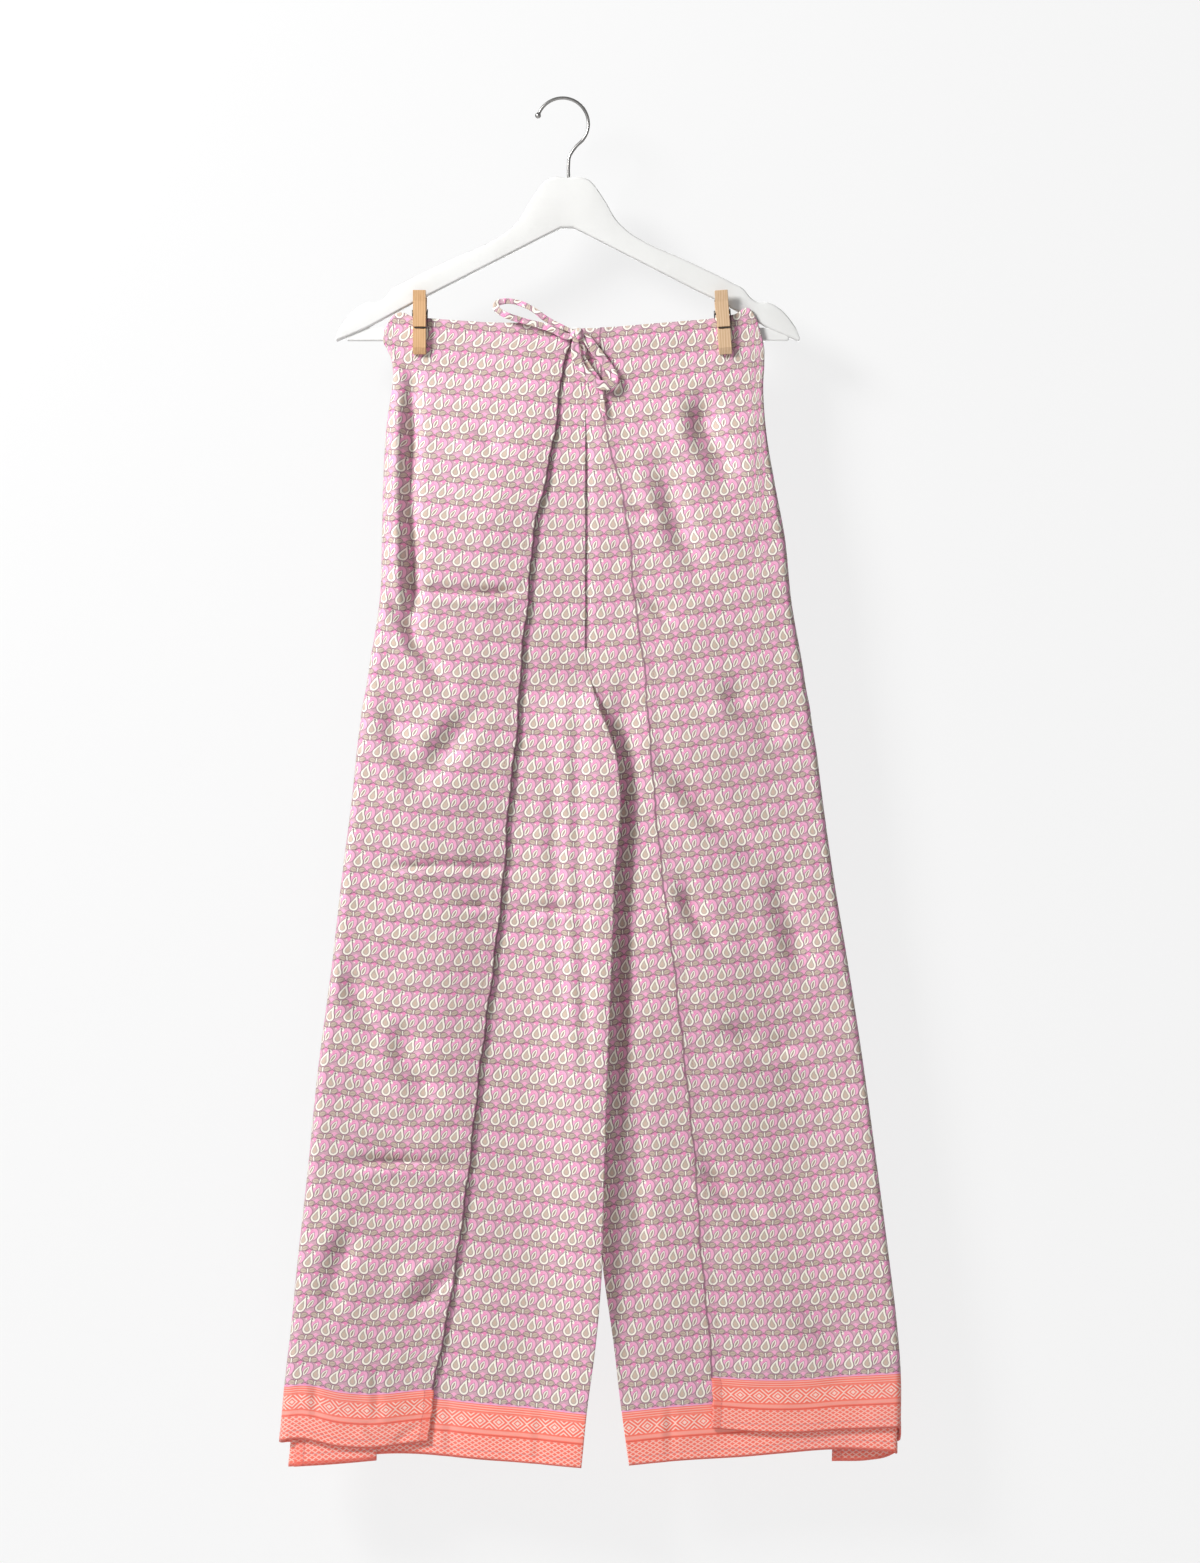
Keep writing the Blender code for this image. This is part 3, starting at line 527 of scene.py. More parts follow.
HEMS = {
    # sheet: x, drop
    "left_flap": millimetres(
        (-261, 1241.5), (-245, 1239.3), (-206, 1246.2), (-181, 1248), (-145, 1245.2),
        (-123, 1242.9)),
    "right_flap": millimetres(
        (139, 1231.4), (184, 1234.6), (228, 1234.6), (252, 1232.7), (278, 1231.4), (314, 1229.5)),
    "left_front": millimetres(
        (-252, 1265.6), (-171, 1254.9), (-67, 1260), (18, 1265.6)),
    "right_front": millimetres(
        (62, 1266.1), (106, 1261.9), (166, 1258.2), (203, 1254.5), (252, 1250.8), (313, 1252.6)),
    "left_tail": millimetres(
        (-252, 1265.6), (-222, 1263.7), (-173, 1260)),
    "right_tail": millimetres(
        (250, 1262.8), (284, 1261.5), (302, 1257.7), (311, 1253)),
    "back": millimetres(
        (-262, 1245.5), (314, 1244)),
}


def ease(start, end, value):
    """0 before start, 1 after end, and a soft S between them: t^2 (3 - 2t)."""
    t = np.clip((np.asarray(value, float) - start) / (end - start), 0.0, 1.0)
    return t * t * (3.0 - 2.0 * t)


def mix(a, b, weight):
    return a + (b - a) * weight


def smooth_curve(table, at):
    """A smooth curve through a table of (position, value) rows: Hermite cubics, each row's slope
    being that of the chord between its neighbours."""
    knots = np.array([row[0] for row in table])
    values = np.array([row[1] for row in table])
    slopes = np.gradient(values, knots)
    at = np.clip(np.asarray(at, float), knots[0], knots[-1])
    low = np.clip(np.searchsorted(knots, at) - 1, 0, len(knots) - 2)
    step = knots[low + 1] - knots[low]
    t = (at - knots[low]) / step
    return ((2 * t**3 - 3 * t**2 + 1) * values[low] + (t**3 - 2 * t**2 + t) * step * slopes[low]
            + (3 * t**2 - 2 * t**3) * values[low + 1] + (t**3 - t**2) * step * slopes[low + 1])


def width(column, drop):
    """One column of WIDTHS at a drop."""
    place = WIDTH_COLUMNS.index(column) + 1
    return smooth_curve([(row[0], row[place]) for row in WIDTHS], drop)


def arc_along(points, axis):
    """Distance travelled from the first row or column to each point."""
    steps = np.linalg.norm(np.diff(points, axis=axis), axis=2)
    pad = [(0, 0), (0, 0)]
    pad[axis] = (1, 0)
    return np.cumsum(np.pad(steps, pad), axis=axis)

# %% [markdown]
# At the waist the layers are pressed together by the pegs; below it each hangs a few millimetres
# in front of the one behind. Below the crotch the left leg hangs in front of the right one, which
# gives the deep shadow along its inner edge. Another way is to drape all layers with a cloth
# simulation, but thin layers a millimetre apart slip through each other there.

# %% How far forward each layer hangs
LAYERS = {
    # layer: (y at the waist, y once the cloth hangs free)
    "back": (-0.0042, -0.0020),
    "front_left": (-0.0058, -0.0150),
    "front_right": (-0.0058, -0.0130),
    "flap_left": (-0.0074, -0.0222),
    "flap_right": (-0.0074, -0.0160),
    "pleat_left": (-0.0064, -0.0172),
    "tail_left": (-0.0070, -0.0194),
    "tail_right": (-0.0050, -0.0066),
}
PRESSED_DROP = 0.238
FREE_DROP = 0.400
FLAP_EDGE_SINK = 0.0036      # the left flap's free edge lies closer to the panel under it
FLAP_EDGE_REACH = 0.050
SEAM_AT_CROTCH = -0.0100
SEAM_HANGS = {"left": -0.0235, "right": -0.0070}
SEAM_SPLIT = (0.534, 0.576)  # drops between which the two inner leg seams part
SEAM_REACH = 0.070
SEAM_GAP = 0.0014            # front and back panel, middle to middle, at the inner seam
FOLD_RATIO = 0.70            # an outer fold's reach in x for each unit of its half depth in y


def layer(name, drop):
    """A layer's y: pressed together at the waist, free below it."""
    pressed, free = LAYERS[name]
    return mix(pressed, free, ease(PRESSED_DROP, FREE_DROP, drop))


def seam_pull(side, x, drop):
    """1 on a leg's inner seam and at the crotch, fading to 0 at SEAM_REACH from them."""
    across = x - width(side + "_leg_inner", drop)
    above = np.maximum(CROTCH_DROP - drop, 0.0)
    return 1.0 - ease(0.0, SEAM_REACH, np.hypot(across, above))


def seam_groove(side, x, drop):
    """At the centre seams the right piece dips under the left one: 1.8 mm
    exp(-(distance / 6 mm)^2), gone at both ends."""
    if side == "left":
        return 0.0
    across = x - width(side + "_leg_inner", drop)
    ends = ease(0.28, 0.33, drop) * ease(0.52, 0.49, drop)
    return 0.0018 * ends * np.exp(-((across / 0.006) ** 2))


def seam_y(side, drop):
    return mix(SEAM_AT_CROTCH, SEAM_HANGS[side], ease(*SEAM_SPLIT, drop))


def front_y(side, x, drop):
    free = mix(layer("front_left", drop), layer("front_right", drop), ease(-0.05, 0.09, x))
    hung = mix(free, seam_y(side, drop), seam_pull(side, x, drop))
    return hung + seam_groove(side, x, drop)


def back_y(side, x, drop):
    hung = mix(layer("back", drop), seam_y(side, drop) + SEAM_GAP, seam_pull(side, x, drop))
    return hung - seam_groove(side, x, drop)


def flap_y(side, x, drop):
    free = layer("flap_" + side, drop) + 0.0 * x
    if side == "right":
        return free
    near_edge = 1.0 - ease(0.0, FLAP_EDGE_REACH, width("left_flap_edge", drop) - x)
    return free + FLAP_EDGE_SINK * near_edge * ease(PRESSED_DROP, FREE_DROP, drop)

# %% [markdown]
# Creases give worn-in cloth its life. Some were pressed through all layers while the trousers lay
# folded, and those move every layer of a leg alike; others lie in one layer only. Each is a bowed
# line with a soft trough along it and a lower ridge beside it. Noise could make any number of
# them, but it would not put them where the pegs and the fold lines of storage put them.

# %% Creases
CREASES = {
    # sheet: x, drop at one end, x, drop at the other, bow, half width, depth; all in mm
    "left all": millimetres(
        (-138.5, 264, -136, 505, 3, 7, 12), (-159, 455, -108, 540, 4, 7.5, 6.4),
        (-162, 560, -128, 640, 3, 11, 4.8), (-158, 234, -140, 254.5, 0, 3.5, 2.6),
        (-134, 456, -33, 457, 2, 4.6, 6.2), (-160, 712, -50, 714, -2, 4.5, 6),
        (-94, 747, -66, 748, 0, 3.6, 3.6), (-200, 984, -83, 990, -3, 5.5, 7),
        (-94, 1083, -142, 1124, 4, 10, 7), (-227.5, 1180, -226.5, 1225, 0, 4.5, 1.4),
        (-150, 860, -115, 930, 6, 13, 6), (-90, 300, -50, 330, 2, 8, 2.6),
        (-40, 750, 48, 751, 1, 4.2, 4.2), (14, 560, 25, 930, 2, 7, 3), (-5, 620, 1, 860, 2, 8, 2.4),
        (-70, 560, -130, 640, 4, 12, 4.6), (-200, 800, -170, 860, 3, 10, 4.6),
        (-190, 1040, -215, 1120, 3, 11, 5)),
    "left flap": millimetres(
        (-183, 1223, -167, 1243, 1, 3.5, 1), (-131, 1228, -157, 1246, 1, 3.5, 1.2),
        (-171.5, 1170, -170, 1222, 0, 4.5, 1.4)),
    "left front": millimetres(
        (-105, 1195, -103, 1262, 0, 4.5, 1.3), (-20, 1210, -22, 1264, 0, 4.5, 1.3)),
    "right all": millimetres(
        (56, 378, 88, 391, 1, 4.5, 5), (72, 464, 103, 483, 1, 5, 5.6),
        (92, 612, 174, 686, 6, 10, 9.2), (109, 722, 142, 783, 3, 8.5, 7.6),
        (126, 984, 185, 1034, 4, 8.5, 7.6), (125, 272, 156, 350, 4, 13, 9),
        (150, 860, 220, 880, 4, 11, 5.6), (220, 1125, 270, 1165, 3, 13, 4),
        (58, 570, 52, 1020, 3, 10, 8.5), (90, 330, 128, 440, 4, 12, 6),
        (150, 540, 205, 590, 4, 12, 5.6), (200, 720, 230, 810, 4, 12, 5.6)),
    "right front": millimetres(
        (70, 900, 76, 1120, 3, 9, 3.5), (100, 1205, 101, 1262, 0, 4.5, 1.3)),
    "left back": millimetres(
        (-150, 420, -10, 430, 4, 5, 3.5), (-60, 560, -140, 660, 6, 12, 5.1),
        (-90, 880, -40, 1000, 5, 12, 4.8), (-200, 1090, -140, 1150, 4, 10, 4.5)),
    "right back": millimetres(
        (40, 425, 170, 436, 4, 5, 3.2), (80, 520, 130, 640, 6, 12, 5.1),
        (150, 840, 210, 930, 6, 12, 4.8), (90, 1060, 150, 1120, 4, 10, 4.2)),
}


def crease(x, drop, row):
    """depth (exp(-q^2) - 0.5 exp(-(q - 1.7)^2)), where q is the distance from a bowed line over
    its half width, fading out over the last third at each end."""
    x0, drop0, x1, drop1, bow, half_width, depth = row
    reach = math.hypot(x1 - x0, drop1 - drop0)
    ahead = ((x1 - x0) / reach, (drop1 - drop0) / reach)
    along = ((x - x0) * ahead[0] + (drop - drop0) * ahead[1]) / reach
    aside = (x - x0) * -ahead[1] + (drop - drop0) * ahead[0]
    q = (aside - 4.0 * bow * along * (1.0 - along)) / half_width
    fade = ease(-0.15, 0.35, along) * ease(1.15, 0.65, along)
    uneven = 1.0 + 0.25 * np.sin(9.0 * along + 40.0 * x0)
    return depth * uneven * fade * (np.exp(-q * q) - 0.5 * np.exp(-((q - 1.7) ** 2)))


def pressed_folds(sheet, x, drop):
    """The sum of a sheet's own creases and of those through all layers of its leg."""
    side = sheet.split()[0]
    rows = [row for name in (sheet, side + " all") for row in CREASES.get(name, ())]
    return sum(crease(x, drop, row) for row in rows)


def sway(x, drop):
    """The slow waves of hanging cloth, alike in all layers: a few sines that grow downwards."""
    grown = ease(0.26, 0.95, drop)
    waves = (0.0030 * np.sin(x / 0.047 + 3.1 * drop + 0.5)
             + 0.0016 * np.sin(x / 0.021 - 5.3 * drop + 1.9)
             + 0.0010 * np.sin(drop / 0.052 + 9.0 * x))
    return grown * waves

# %% [markdown]
# A back piece and its flap are one cut of cloth: from the centre back seam and the inner leg seam,
# across the back, round the outside of the leg, and over the front to a turned and stitched edge.
# So each side is one sheet here. The front piece is another: from the centre front seam to a fold
# hidden inside the flap, where its side is wrapped in as a tail that shows only below the hem.
# Each sheet is a single surface that a Solidify modifier makes into cloth a millimetre thick.

# %% Sheets: shared steps
CLOTH = 0.0010
HEM_TURN = 0.0075
HEM_EXTRA = 0.6              # a turned hem is this much thicker again
ROWS = 384
rows_at = np.linspace(TOP_DROP, HEM_DROP, ROWS)[:, None]
share = (rows_at - TOP_DROP) / (HEM_DROP - TOP_DROP)


def stretch_over(start, end, depth, count, crowd=1.0):
    """Columns from start to end at the depth that the function gives; a crowd over 1 sets them
    closer at the start."""
    x = mix(start, end, np.linspace(0.0, 1.0, count) ** crowd)
    return x, depth(x) + 0.0 * x


def turn_round(x, from_y, to_y, reach, count):
    """Half an ellipse round a fold, reaching out by reach in x."""
    angle = np.linspace(0.0, math.pi, count + 2)[None, 1:-1]
    middle = (from_y + to_y) / 2.0
    return x + reach * np.sin(angle), middle + (from_y - middle) * np.cos(angle)


def hidden_waist(x):
    return np.maximum(smooth_curve(WAIST_EDGE, x), HIDDEN_WAIST_DROP)


def hang(x, y, top_edge, hem):
    """Places the rows: near the waist and the hem they bend to those edges' shapes."""
    rise_up = (top_edge - TOP_DROP) * (1.0 - share) ** EDGE_SHAPE_POWER
    fall = (hem - HEM_DROP) * share ** EDGE_SHAPE_POWER
    return np.stack([x, y, -(rows_at + rise_up + fall)], axis=2)


def height_over_hem(grid):
    """Height over the hem's own shape low down, and over the level HEM_DROP higher up."""
    level = mix(-HEM_DROP, grid[-1:, :, 2], share ** 1.5)
    return grid[..., 2] - level


def tilt_of(table):
    """Tangent of the angle at which the print's rows climb away from a sheet's first edge."""
    return np.tan(np.radians(smooth_curve(table, rows_at)))


def make_sheet(name, grid, maps, keep, flip):
    """A mesh of the kept quads, thickened to cloth, with thicker turned hems."""
    faces = grid_faces(*grid.shape[:2], flip=flip)
    faces = faces[keep[:-1, :-1].ravel()]
    used, faces = np.unique(faces, return_inverse=True)
    faces = faces.reshape(-1, 4)
    kept_maps = {key: pairs.reshape(-1, 2)[used] for key, pairs in maps.items()}
    piece = add_piece(name, grid.reshape(-1, 3)[used], faces, cloth_finish, kept_maps)

    hem = piece.vertex_groups.new(name="turned_hem")
    up_from_hem = kept_maps["Cloth"][:, 1]
    hem.add(np.flatnonzero(up_from_hem < HEM_TURN).tolist(), 1.0, "REPLACE")
    wall = piece.modifiers.new("cloth", "SOLIDIFY")
    wall.thickness = CLOTH * (1.0 + HEM_EXTRA)
    wall.offset = 0.0
    wall.vertex_group = hem.name
    wall.thickness_vertex_group = 1.0 / (1.0 + HEM_EXTRA)
    print(name, "%d quads" % len(faces), "%.4f m2" % sheet_area(grid, keep))
    return piece


def sheet_area(grid, keep):
    """Sum over the kept quads of half the cross product of their diagonals."""
    one = grid[1:, 1:] - grid[:-1, :-1]
    other = grid[1:, :-1] - grid[:-1, 1:]
    return 0.5 * float((np.linalg.norm(np.cross(one, other), axis=2) * keep[:-1, :-1]).sum())

# %% [markdown]
# The flap's rows of print are not level: it was cut with the weave along its free edge, and that
# edge slants, so the rows climb from the edge towards the side. The flat coordinate along a row is
# the arc length from the free edge; the one up the cloth is the arc length from the hem, less the
# climb of the rows.

# %% Back pieces with their wrapped flaps
FLAP_TILTS = {
    "left": ((0.205, 4.6), (0.500, 5.0), (0.800, 4.2), (1.000, 2.8), (1.246, 0.3)),
    "right": ((0.205, 5.0), (0.500, 6.5), (0.800, 5.5), (1.000, 3.6), (1.246, 0.3)),
}
FLAP_COLUMNS = 72            # columns of points over the flap, round the fold and over the back
TURN_COLUMNS = 7
BACK_COLUMNS = 42


def make_back_and_flap(side):
    sign = -1.0 if side == "left" else 1.0
    fold = width(side + "_fold", rows_at)
    reach = FOLD_RATIO * (layer("back", rows_at) - layer("flap_" + side, rows_at)) / 2.0
    turn_x = fold - sign * reach
    edge = width(side + "_flap_edge", rows_at)
    edge = edge + 0.0004 * np.sin(rows_at / 0.0023) + 0.0006 * np.sin(rows_at / 0.0091)
    stretches = (
        stretch_over(edge, turn_x, lambda x: flap_y(side, x, rows_at),
                     FLAP_COLUMNS),
        turn_round(turn_x, flap_y(side, turn_x, rows_at), back_y(side, turn_x, rows_at),
                   sign * reach, TURN_COLUMNS),
        stretch_over(turn_x, width(side + "_leg_inner", rows_at),
                     lambda x: back_y(side, x, rows_at), BACK_COLUMNS),
    )
    x, y = (np.concatenate(parts, axis=1) for parts in zip(*stretches))

    front, back = layer("flap_" + side, rows_at), layer("back", rows_at)
    behind = ease(0.15, 0.85, (y - front) / (back - front))
    behind[:, FLAP_COLUMNS + TURN_COLUMNS:] = 1.0
    behind[:, :FLAP_COLUMNS] = 0.0
    top_edge = mix(smooth_curve(WAIST_EDGE, x), hidden_waist(x), behind)
    back_hem = np.interp(x, *zip(*HEMS["back"]))
    grid = hang(x, y, top_edge, mix(smooth_curve(HEMS[side + "_flap"], x), back_hem, behind))

    along = arc_along(grid, 1)
    up = height_over_hem(grid)
    cloth = np.stack([sign * along, up - tilt_of(FLAP_TILTS[side]) * along], axis=2)
    edges = np.stack([along, arc_along(grid, 0)], axis=2)

    drop = -grid[..., 2]
    own = mix(pressed_folds(side + " flap", x, drop), pressed_folds(side + " back", x, drop),
              behind)
    grid[..., 1] += own + sway(x, drop)
    piece = make_sheet(side + "_back_and_flap", grid, {"Cloth": cloth, "Edges": edges},
                       np.ones(x.shape, bool), flip=side == "right")
    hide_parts("back_panel_" + side, "wrap_flap_" + side)
    print(side, "row at the hem %.3f, at the waist %.3f m" % (along[-1, -1], along[0, -1]))


for side_name in ("left", "right"):
    make_back_and_flap(side_name)

# %% [markdown]
# The front pieces hang between the flaps and the back. On the left the wrapped-in side is folded
# back on itself in a pleat and lies in front of the panel; on the right it is turned behind it.
# Below the flaps' hems the coral corners of these tails show.

# %% Front pieces with their wrapped-in tails
LEFT_PLEAT_INSET = 0.0100
LEFT_TAIL_INSET = 0.0135
LEFT_PLEAT_WIDTH = (0.030, 0.088)
RIGHT_INNER_INSET = 0.0034
RIGHT_TAIL_WIDTH = (0.034, 0.063)
FRONT_COLUMNS = 84
FRONT_TILTS = {
    "left": ((0.205, 0.0), (0.600, 1.0), (0.900, 2.4), (1.100, 2.2), (1.246, 0.4)),
    "right": ((0.205, 0.5), (0.500, 3.0), (0.800, 4.5), (1.000, 3.2), (1.246, 0.3)),
}
GRAIN_LEAN = {"left": -0.05, "right": 0.07}   # x for each unit of drop along the front's grain
hem_share = np.clip((rows_at - TAIL_TOP_DROP) / (HEM_DROP - TAIL_TOP_DROP), 0.0, 1.0)


def left_stretches():
    outer = width("left_fold", rows_at)
    fold = outer + LEFT_PLEAT_INSET
    pleat = outer + mix(*LEFT_PLEAT_WIDTH, hem_share)
    side_hem = outer + LEFT_TAIL_INSET
    levels = [layer(n, rows_at) for n in ("front_left", "pleat_left", "tail_left")]
    return (
        stretch_over(width("left_leg_inner", rows_at), fold,
                     lambda x: front_y("left", x, rows_at), FRONT_COLUMNS, 1.15),
        turn_round(fold, levels[0], levels[1], -0.0011, 3),
        stretch_over(fold, pleat, lambda x: levels[1], 9),
        turn_round(pleat, levels[1], levels[2], 0.0011, 3),
        stretch_over(pleat, side_hem, lambda x: levels[2], 9),
    )


def right_stretches():
    reach = FOLD_RATIO * (layer("tail_right", rows_at) - layer("front_right", rows_at)) / 2.0
    outer = width("right_fold", rows_at)
    fold = outer - RIGHT_INNER_INSET - reach
    side_hem = outer - mix(*RIGHT_TAIL_WIDTH, hem_share)
    levels = [layer(n, rows_at) for n in ("front_right", "tail_right")]
    return (
        stretch_over(width("right_leg_inner", rows_at), fold,
                     lambda x: front_y("right", x, rows_at), FRONT_COLUMNS, 1.25),
        turn_round(fold, levels[0], levels[1], reach, 4),
        stretch_over(fold, side_hem, lambda x: levels[1], 14),
    )


def make_front(side, stretches):
    sign = -1.0 if side == "left" else 1.0
    x, y = (np.concatenate(parts, axis=1) for parts in zip(*stretches))
    hem = smooth_curve(HEMS[side + "_front"], x)
    hem[:, FRONT_COLUMNS:] = smooth_curve(HEMS[side + "_tail"], x[:, FRONT_COLUMNS:])
    grid = hang(x, y, hidden_waist(x), hem)
    keep = np.ones(x.shape, bool)
    keep[rows_at[:, 0] < TAIL_TOP_DROP, FRONT_COLUMNS - 1:] = False

    along = arc_along(grid, 1)
    up = height_over_hem(grid)
    grain = x[:, :1] - GRAIN_LEAN[side] * (rows_at - TOP_DROP)
    cloth = np.stack([sign * along + grain, up - tilt_of(FRONT_TILTS[side]) * along], axis=2)
    edges = np.stack([along[:, -1:] - along, arc_along(grid, 0)], axis=2)

    drop = -grid[..., 2]
    grid[..., 1] += pressed_folds(side + " front", x, drop) + sway(x, drop)
    piece = make_sheet(side + "_front_and_tail", grid, {"Cloth": cloth, "Edges": edges},
                       keep, flip=side == "right")
    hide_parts("front_panel_" + side, "front_tail_" + side)
    print(side, "row at the hem %.3f m" % along[-1, -1])


make_front("left", left_stretches())
make_front("right", right_stretches())

# %% [markdown]
# The ties are narrow tubes sewn from the same cloth and pressed flat. Their bow has one loop
# standing above the waist, one hanging over the centre seam, and one short end. A loop is a flat
# band carried along a route, its face turned to the front, a little pinched in its middle as a
# sewn tube is. The free end is a narrower band along its own route. No cut is known for the loops.
# The areas declared for them are those that one side of each drawn tube has, and the cord's length
# is that of its drawn route.

# %% Ties
TIE_WIDTH = 0.0090
TIE_THICKNESS = 0.0016
TIE_SIDES = 20
TAIL_WIDTH = 0.0040
LEFT_LOOP = millimetres(
    # x, y, drop; the first and last points lie inside the knot
    (12, -13.6, 220.8), (5.2, -13, 221.5), (-8, -13, 215), (-23.1, -13.2, 210.2), (-40, -14, 205.8),
    (-53, -15, 201.2), (-60.5, -13.5, 195.8), (-60, -10, 190.5), (-52, -8.6, 188.2),
    (-38, -8.8, 190.5), (-26, -9.5, 196.5), (-16, -10, 204), (-4, -10.2, 210.5),
    (5.8, -10.2, 214.8), (11.5, -11.8, 218.2),
)
RIGHT_LOOP = millimetres(
    (18, -13.8, 221.5), (24, -13.8, 225), (29, -12.8, 232), (36.5, -12.5, 241),
    (44.5, -13.2, 252.5), (48, -15, 261), (43, -16.2, 266.5), (33.5, -16.2, 265.5),
    (24, -15.6, 258), (15.5, -15, 246.5), (12.5, -15, 235), (12.5, -14.8, 227.2),
    (13.5, -14.2, 222.2),
)
TIE_TAIL = millimetres(
    (17.2, -12, 224.3), (19, -11.3, 230), (20.5, -11.3, 240), (26.5, -11.4, 251), (34, -11.6, 262),
    (36.2, -12.1, 272), (37.5, -12.8, 283), (38.7, -13.8, 295),
)


def travelled(path):
    """Distance along a path from its first point to each point."""
    steps = np.linalg.norm(np.diff(path, axis=0), axis=1)
    return np.concatenate([[0.0], np.cumsum(steps)])


def dense_path(route, count):
    """Evenly spread points on a smooth curve through a route's own (x, y, drop) points."""
    points = np.array([(x, y, -drop) for x, y, drop in route])
    along = travelled(points)
    at = np.linspace(0.0, along[-1], count)
    return np.stack([smooth_curve(list(zip(along, points[:, k])), at) for k in range(3)], axis=1)


def band_rings(path, widths, thickness, sides):
    """Rings of a flat band: across is at right angles to the path in the plane of the waist.
    A ring's point is (w/2 cos a, t/2 sin a), squared off and pinched by 0.35 exp(-(3 cos a)^2)."""
    ahead = np.gradient(path, axis=0)
    ahead /= np.linalg.norm(ahead, axis=1, keepdims=True)
    across = np.cross(ahead, (0.0, 1.0, 0.0))
    across /= np.linalg.norm(across, axis=1, keepdims=True)
    face = np.cross(across, ahead)
    angle = np.linspace(0.0, 2.0 * math.pi, sides, endpoint=False)
    flat = np.sign(np.cos(angle)) * np.abs(np.cos(angle)) ** 0.75
    thick = np.sign(np.sin(angle)) * np.abs(np.sin(angle)) ** 0.5
    thick = thick * (1.0 - 0.35 * np.exp(-((3.0 * flat) ** 2)))
    half = np.asarray(widths)[:, None, None] / 2.0
    return (path[:, None] + across[:, None] * half * flat[None, :, None]
            + face[:, None] * thickness / 2.0 * thick[None, :, None])


def band_maps(path, widths, sides, start):
    """Flat coordinates of a band: along it, and round it from a place on the print."""
    along = travelled(path)
    turn = np.abs(np.linspace(-1.0, 1.0, sides, endpoint=False))
    round_it = start + np.asarray(widths)[:, None] * turn[None, :]
    cloth = np.stack([round_it, start + along[:, None] + 0.0 * round_it], axis=2)
    return {"Cloth": cloth, "Edges": np.full_like(cloth, 0.05)}


def make_band(name, node, route, count, start_width, end_width, start):
    path = dense_path(route, count)
    t = np.linspace(0.0, 1.0, count)
    uneven = 1.0 + 0.07 * np.sin(17.0 * t) + 0.04 * np.sin(41.0 * t)
    pinched_ends = 0.72 + 0.28 * ease(0.0, 0.12, t) * ease(1.0, 0.88, t)
    widths = mix(start_width, end_width, t) * uneven * pinched_ends
    piece = add_tube(name, band_rings(path, widths, TIE_THICKNESS, TIE_SIDES), cloth_finish,
                     band_maps(path, widths, TIE_SIDES, start))
    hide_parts(node)
    print(name, "%.3f m long" % travelled(path)[-1])
    return piece, path


left_loop, _ = make_band("bow_loop_left", "tie_loop_left", LEFT_LOOP, 90,
                         0.72 * TIE_WIDTH, 0.52 * TIE_WIDTH, 0.200)
right_loop, _ = make_band("bow_loop_right", "tie_loop_right", RIGHT_LOOP, 80,
                          TIE_WIDTH, 0.9 * TIE_WIDTH, 0.300)
tie_end, tie_end_path = make_band("tie_end", "tie_tail", TIE_TAIL, 60,
                                  TAIL_WIDTH, TAIL_WIDTH, 0.400)

# %% [markdown]
# The knot is the band wrapped once round itself. It is a squashed ball whose skin has slanting
# furrows between the turns of the band; at this size they read as wraps.

# %% The bow's knot
KNOT_CENTRE = (0.0145, -0.0138, -0.2197)
KNOT_HALF = (0.0062, 0.0048, 0.0058)


def make_knot(rings=36, sides=40):
    """Ball x = sin p cos a, z = cos p, y = -sin p sin a. Each radius is times
    1 - 0.10 cos(3 a') + 0.10 |sin|^0.6 - 0.06, whose furrows slant round it."""
    polar = np.linspace(0.02, math.pi - 0.02, rings)[:, None]
    angle = np.linspace(0.0, 2.0 * math.pi, sides, endpoint=False)[None, :]
    ball = np.stack([np.sin(polar) * np.cos(angle), -np.sin(polar) * np.sin(angle),
                     np.cos(polar) + 0.0 * angle], axis=2)
    lobes = 1.0 - 0.10 * np.cos(3.0 * np.arctan2(ball[..., 2], ball[..., 0]))
    wraps = 0.10 * np.abs(np.sin(2.2 * ball[..., 0] + 3.6 * ball[..., 2] + 0.4)) ** 0.6 - 0.06
    points = ball * (lobes + wraps)[..., None] * np.array(KNOT_HALF) + np.array(KNOT_CENTRE)
    flat = np.stack([angle * 0.006 + 0.0 * polar, 0.3 + polar * 0.006 + 0.0 * angle], axis=2)
    piece = add_tube("bow_knot", points, cloth_finish,
                     {"Cloth": flat, "Edges": np.full_like(flat, 0.05)})
    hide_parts("tie_knot")


make_knot()

# %% [markdown]
# The hanger is cut from a board and its edges are rounded, then it is painted white. Its body is a
# rounded rectangle carried along x: at each place the board runs from the top edge's curve to the
# underside's. An extruded outline with a bevel would do too, but would leave long thin faces.

# %% Hanger finishes
def make_paint():
    """White enamel over wood: the grain shows only as a faint unevenness, and it is a little
    greyer in patches where hands have been."""
    finish, tree, shader = new_finish("hanger_paint")
    place = tree.nodes.new("ShaderNodeTexCoord").outputs["Object"]
    grain = noise(tree, place, 40.0, 4.0, (0.25, 1.0, 3.0))
    patches = noise(tree, place, 14.0, 2.0)
    colour = paint((226, 226, 224), (216, 215, 212), rise(patches, 0.45, 0.75) * 0.6)
    coat(tree, shader, colour, patches * 0.16 + 0.30)
    shader.inputs["Coat Weight"].default_value = 0.25
    emboss(shader, grain, 0.0004, 0.35)
    return finish


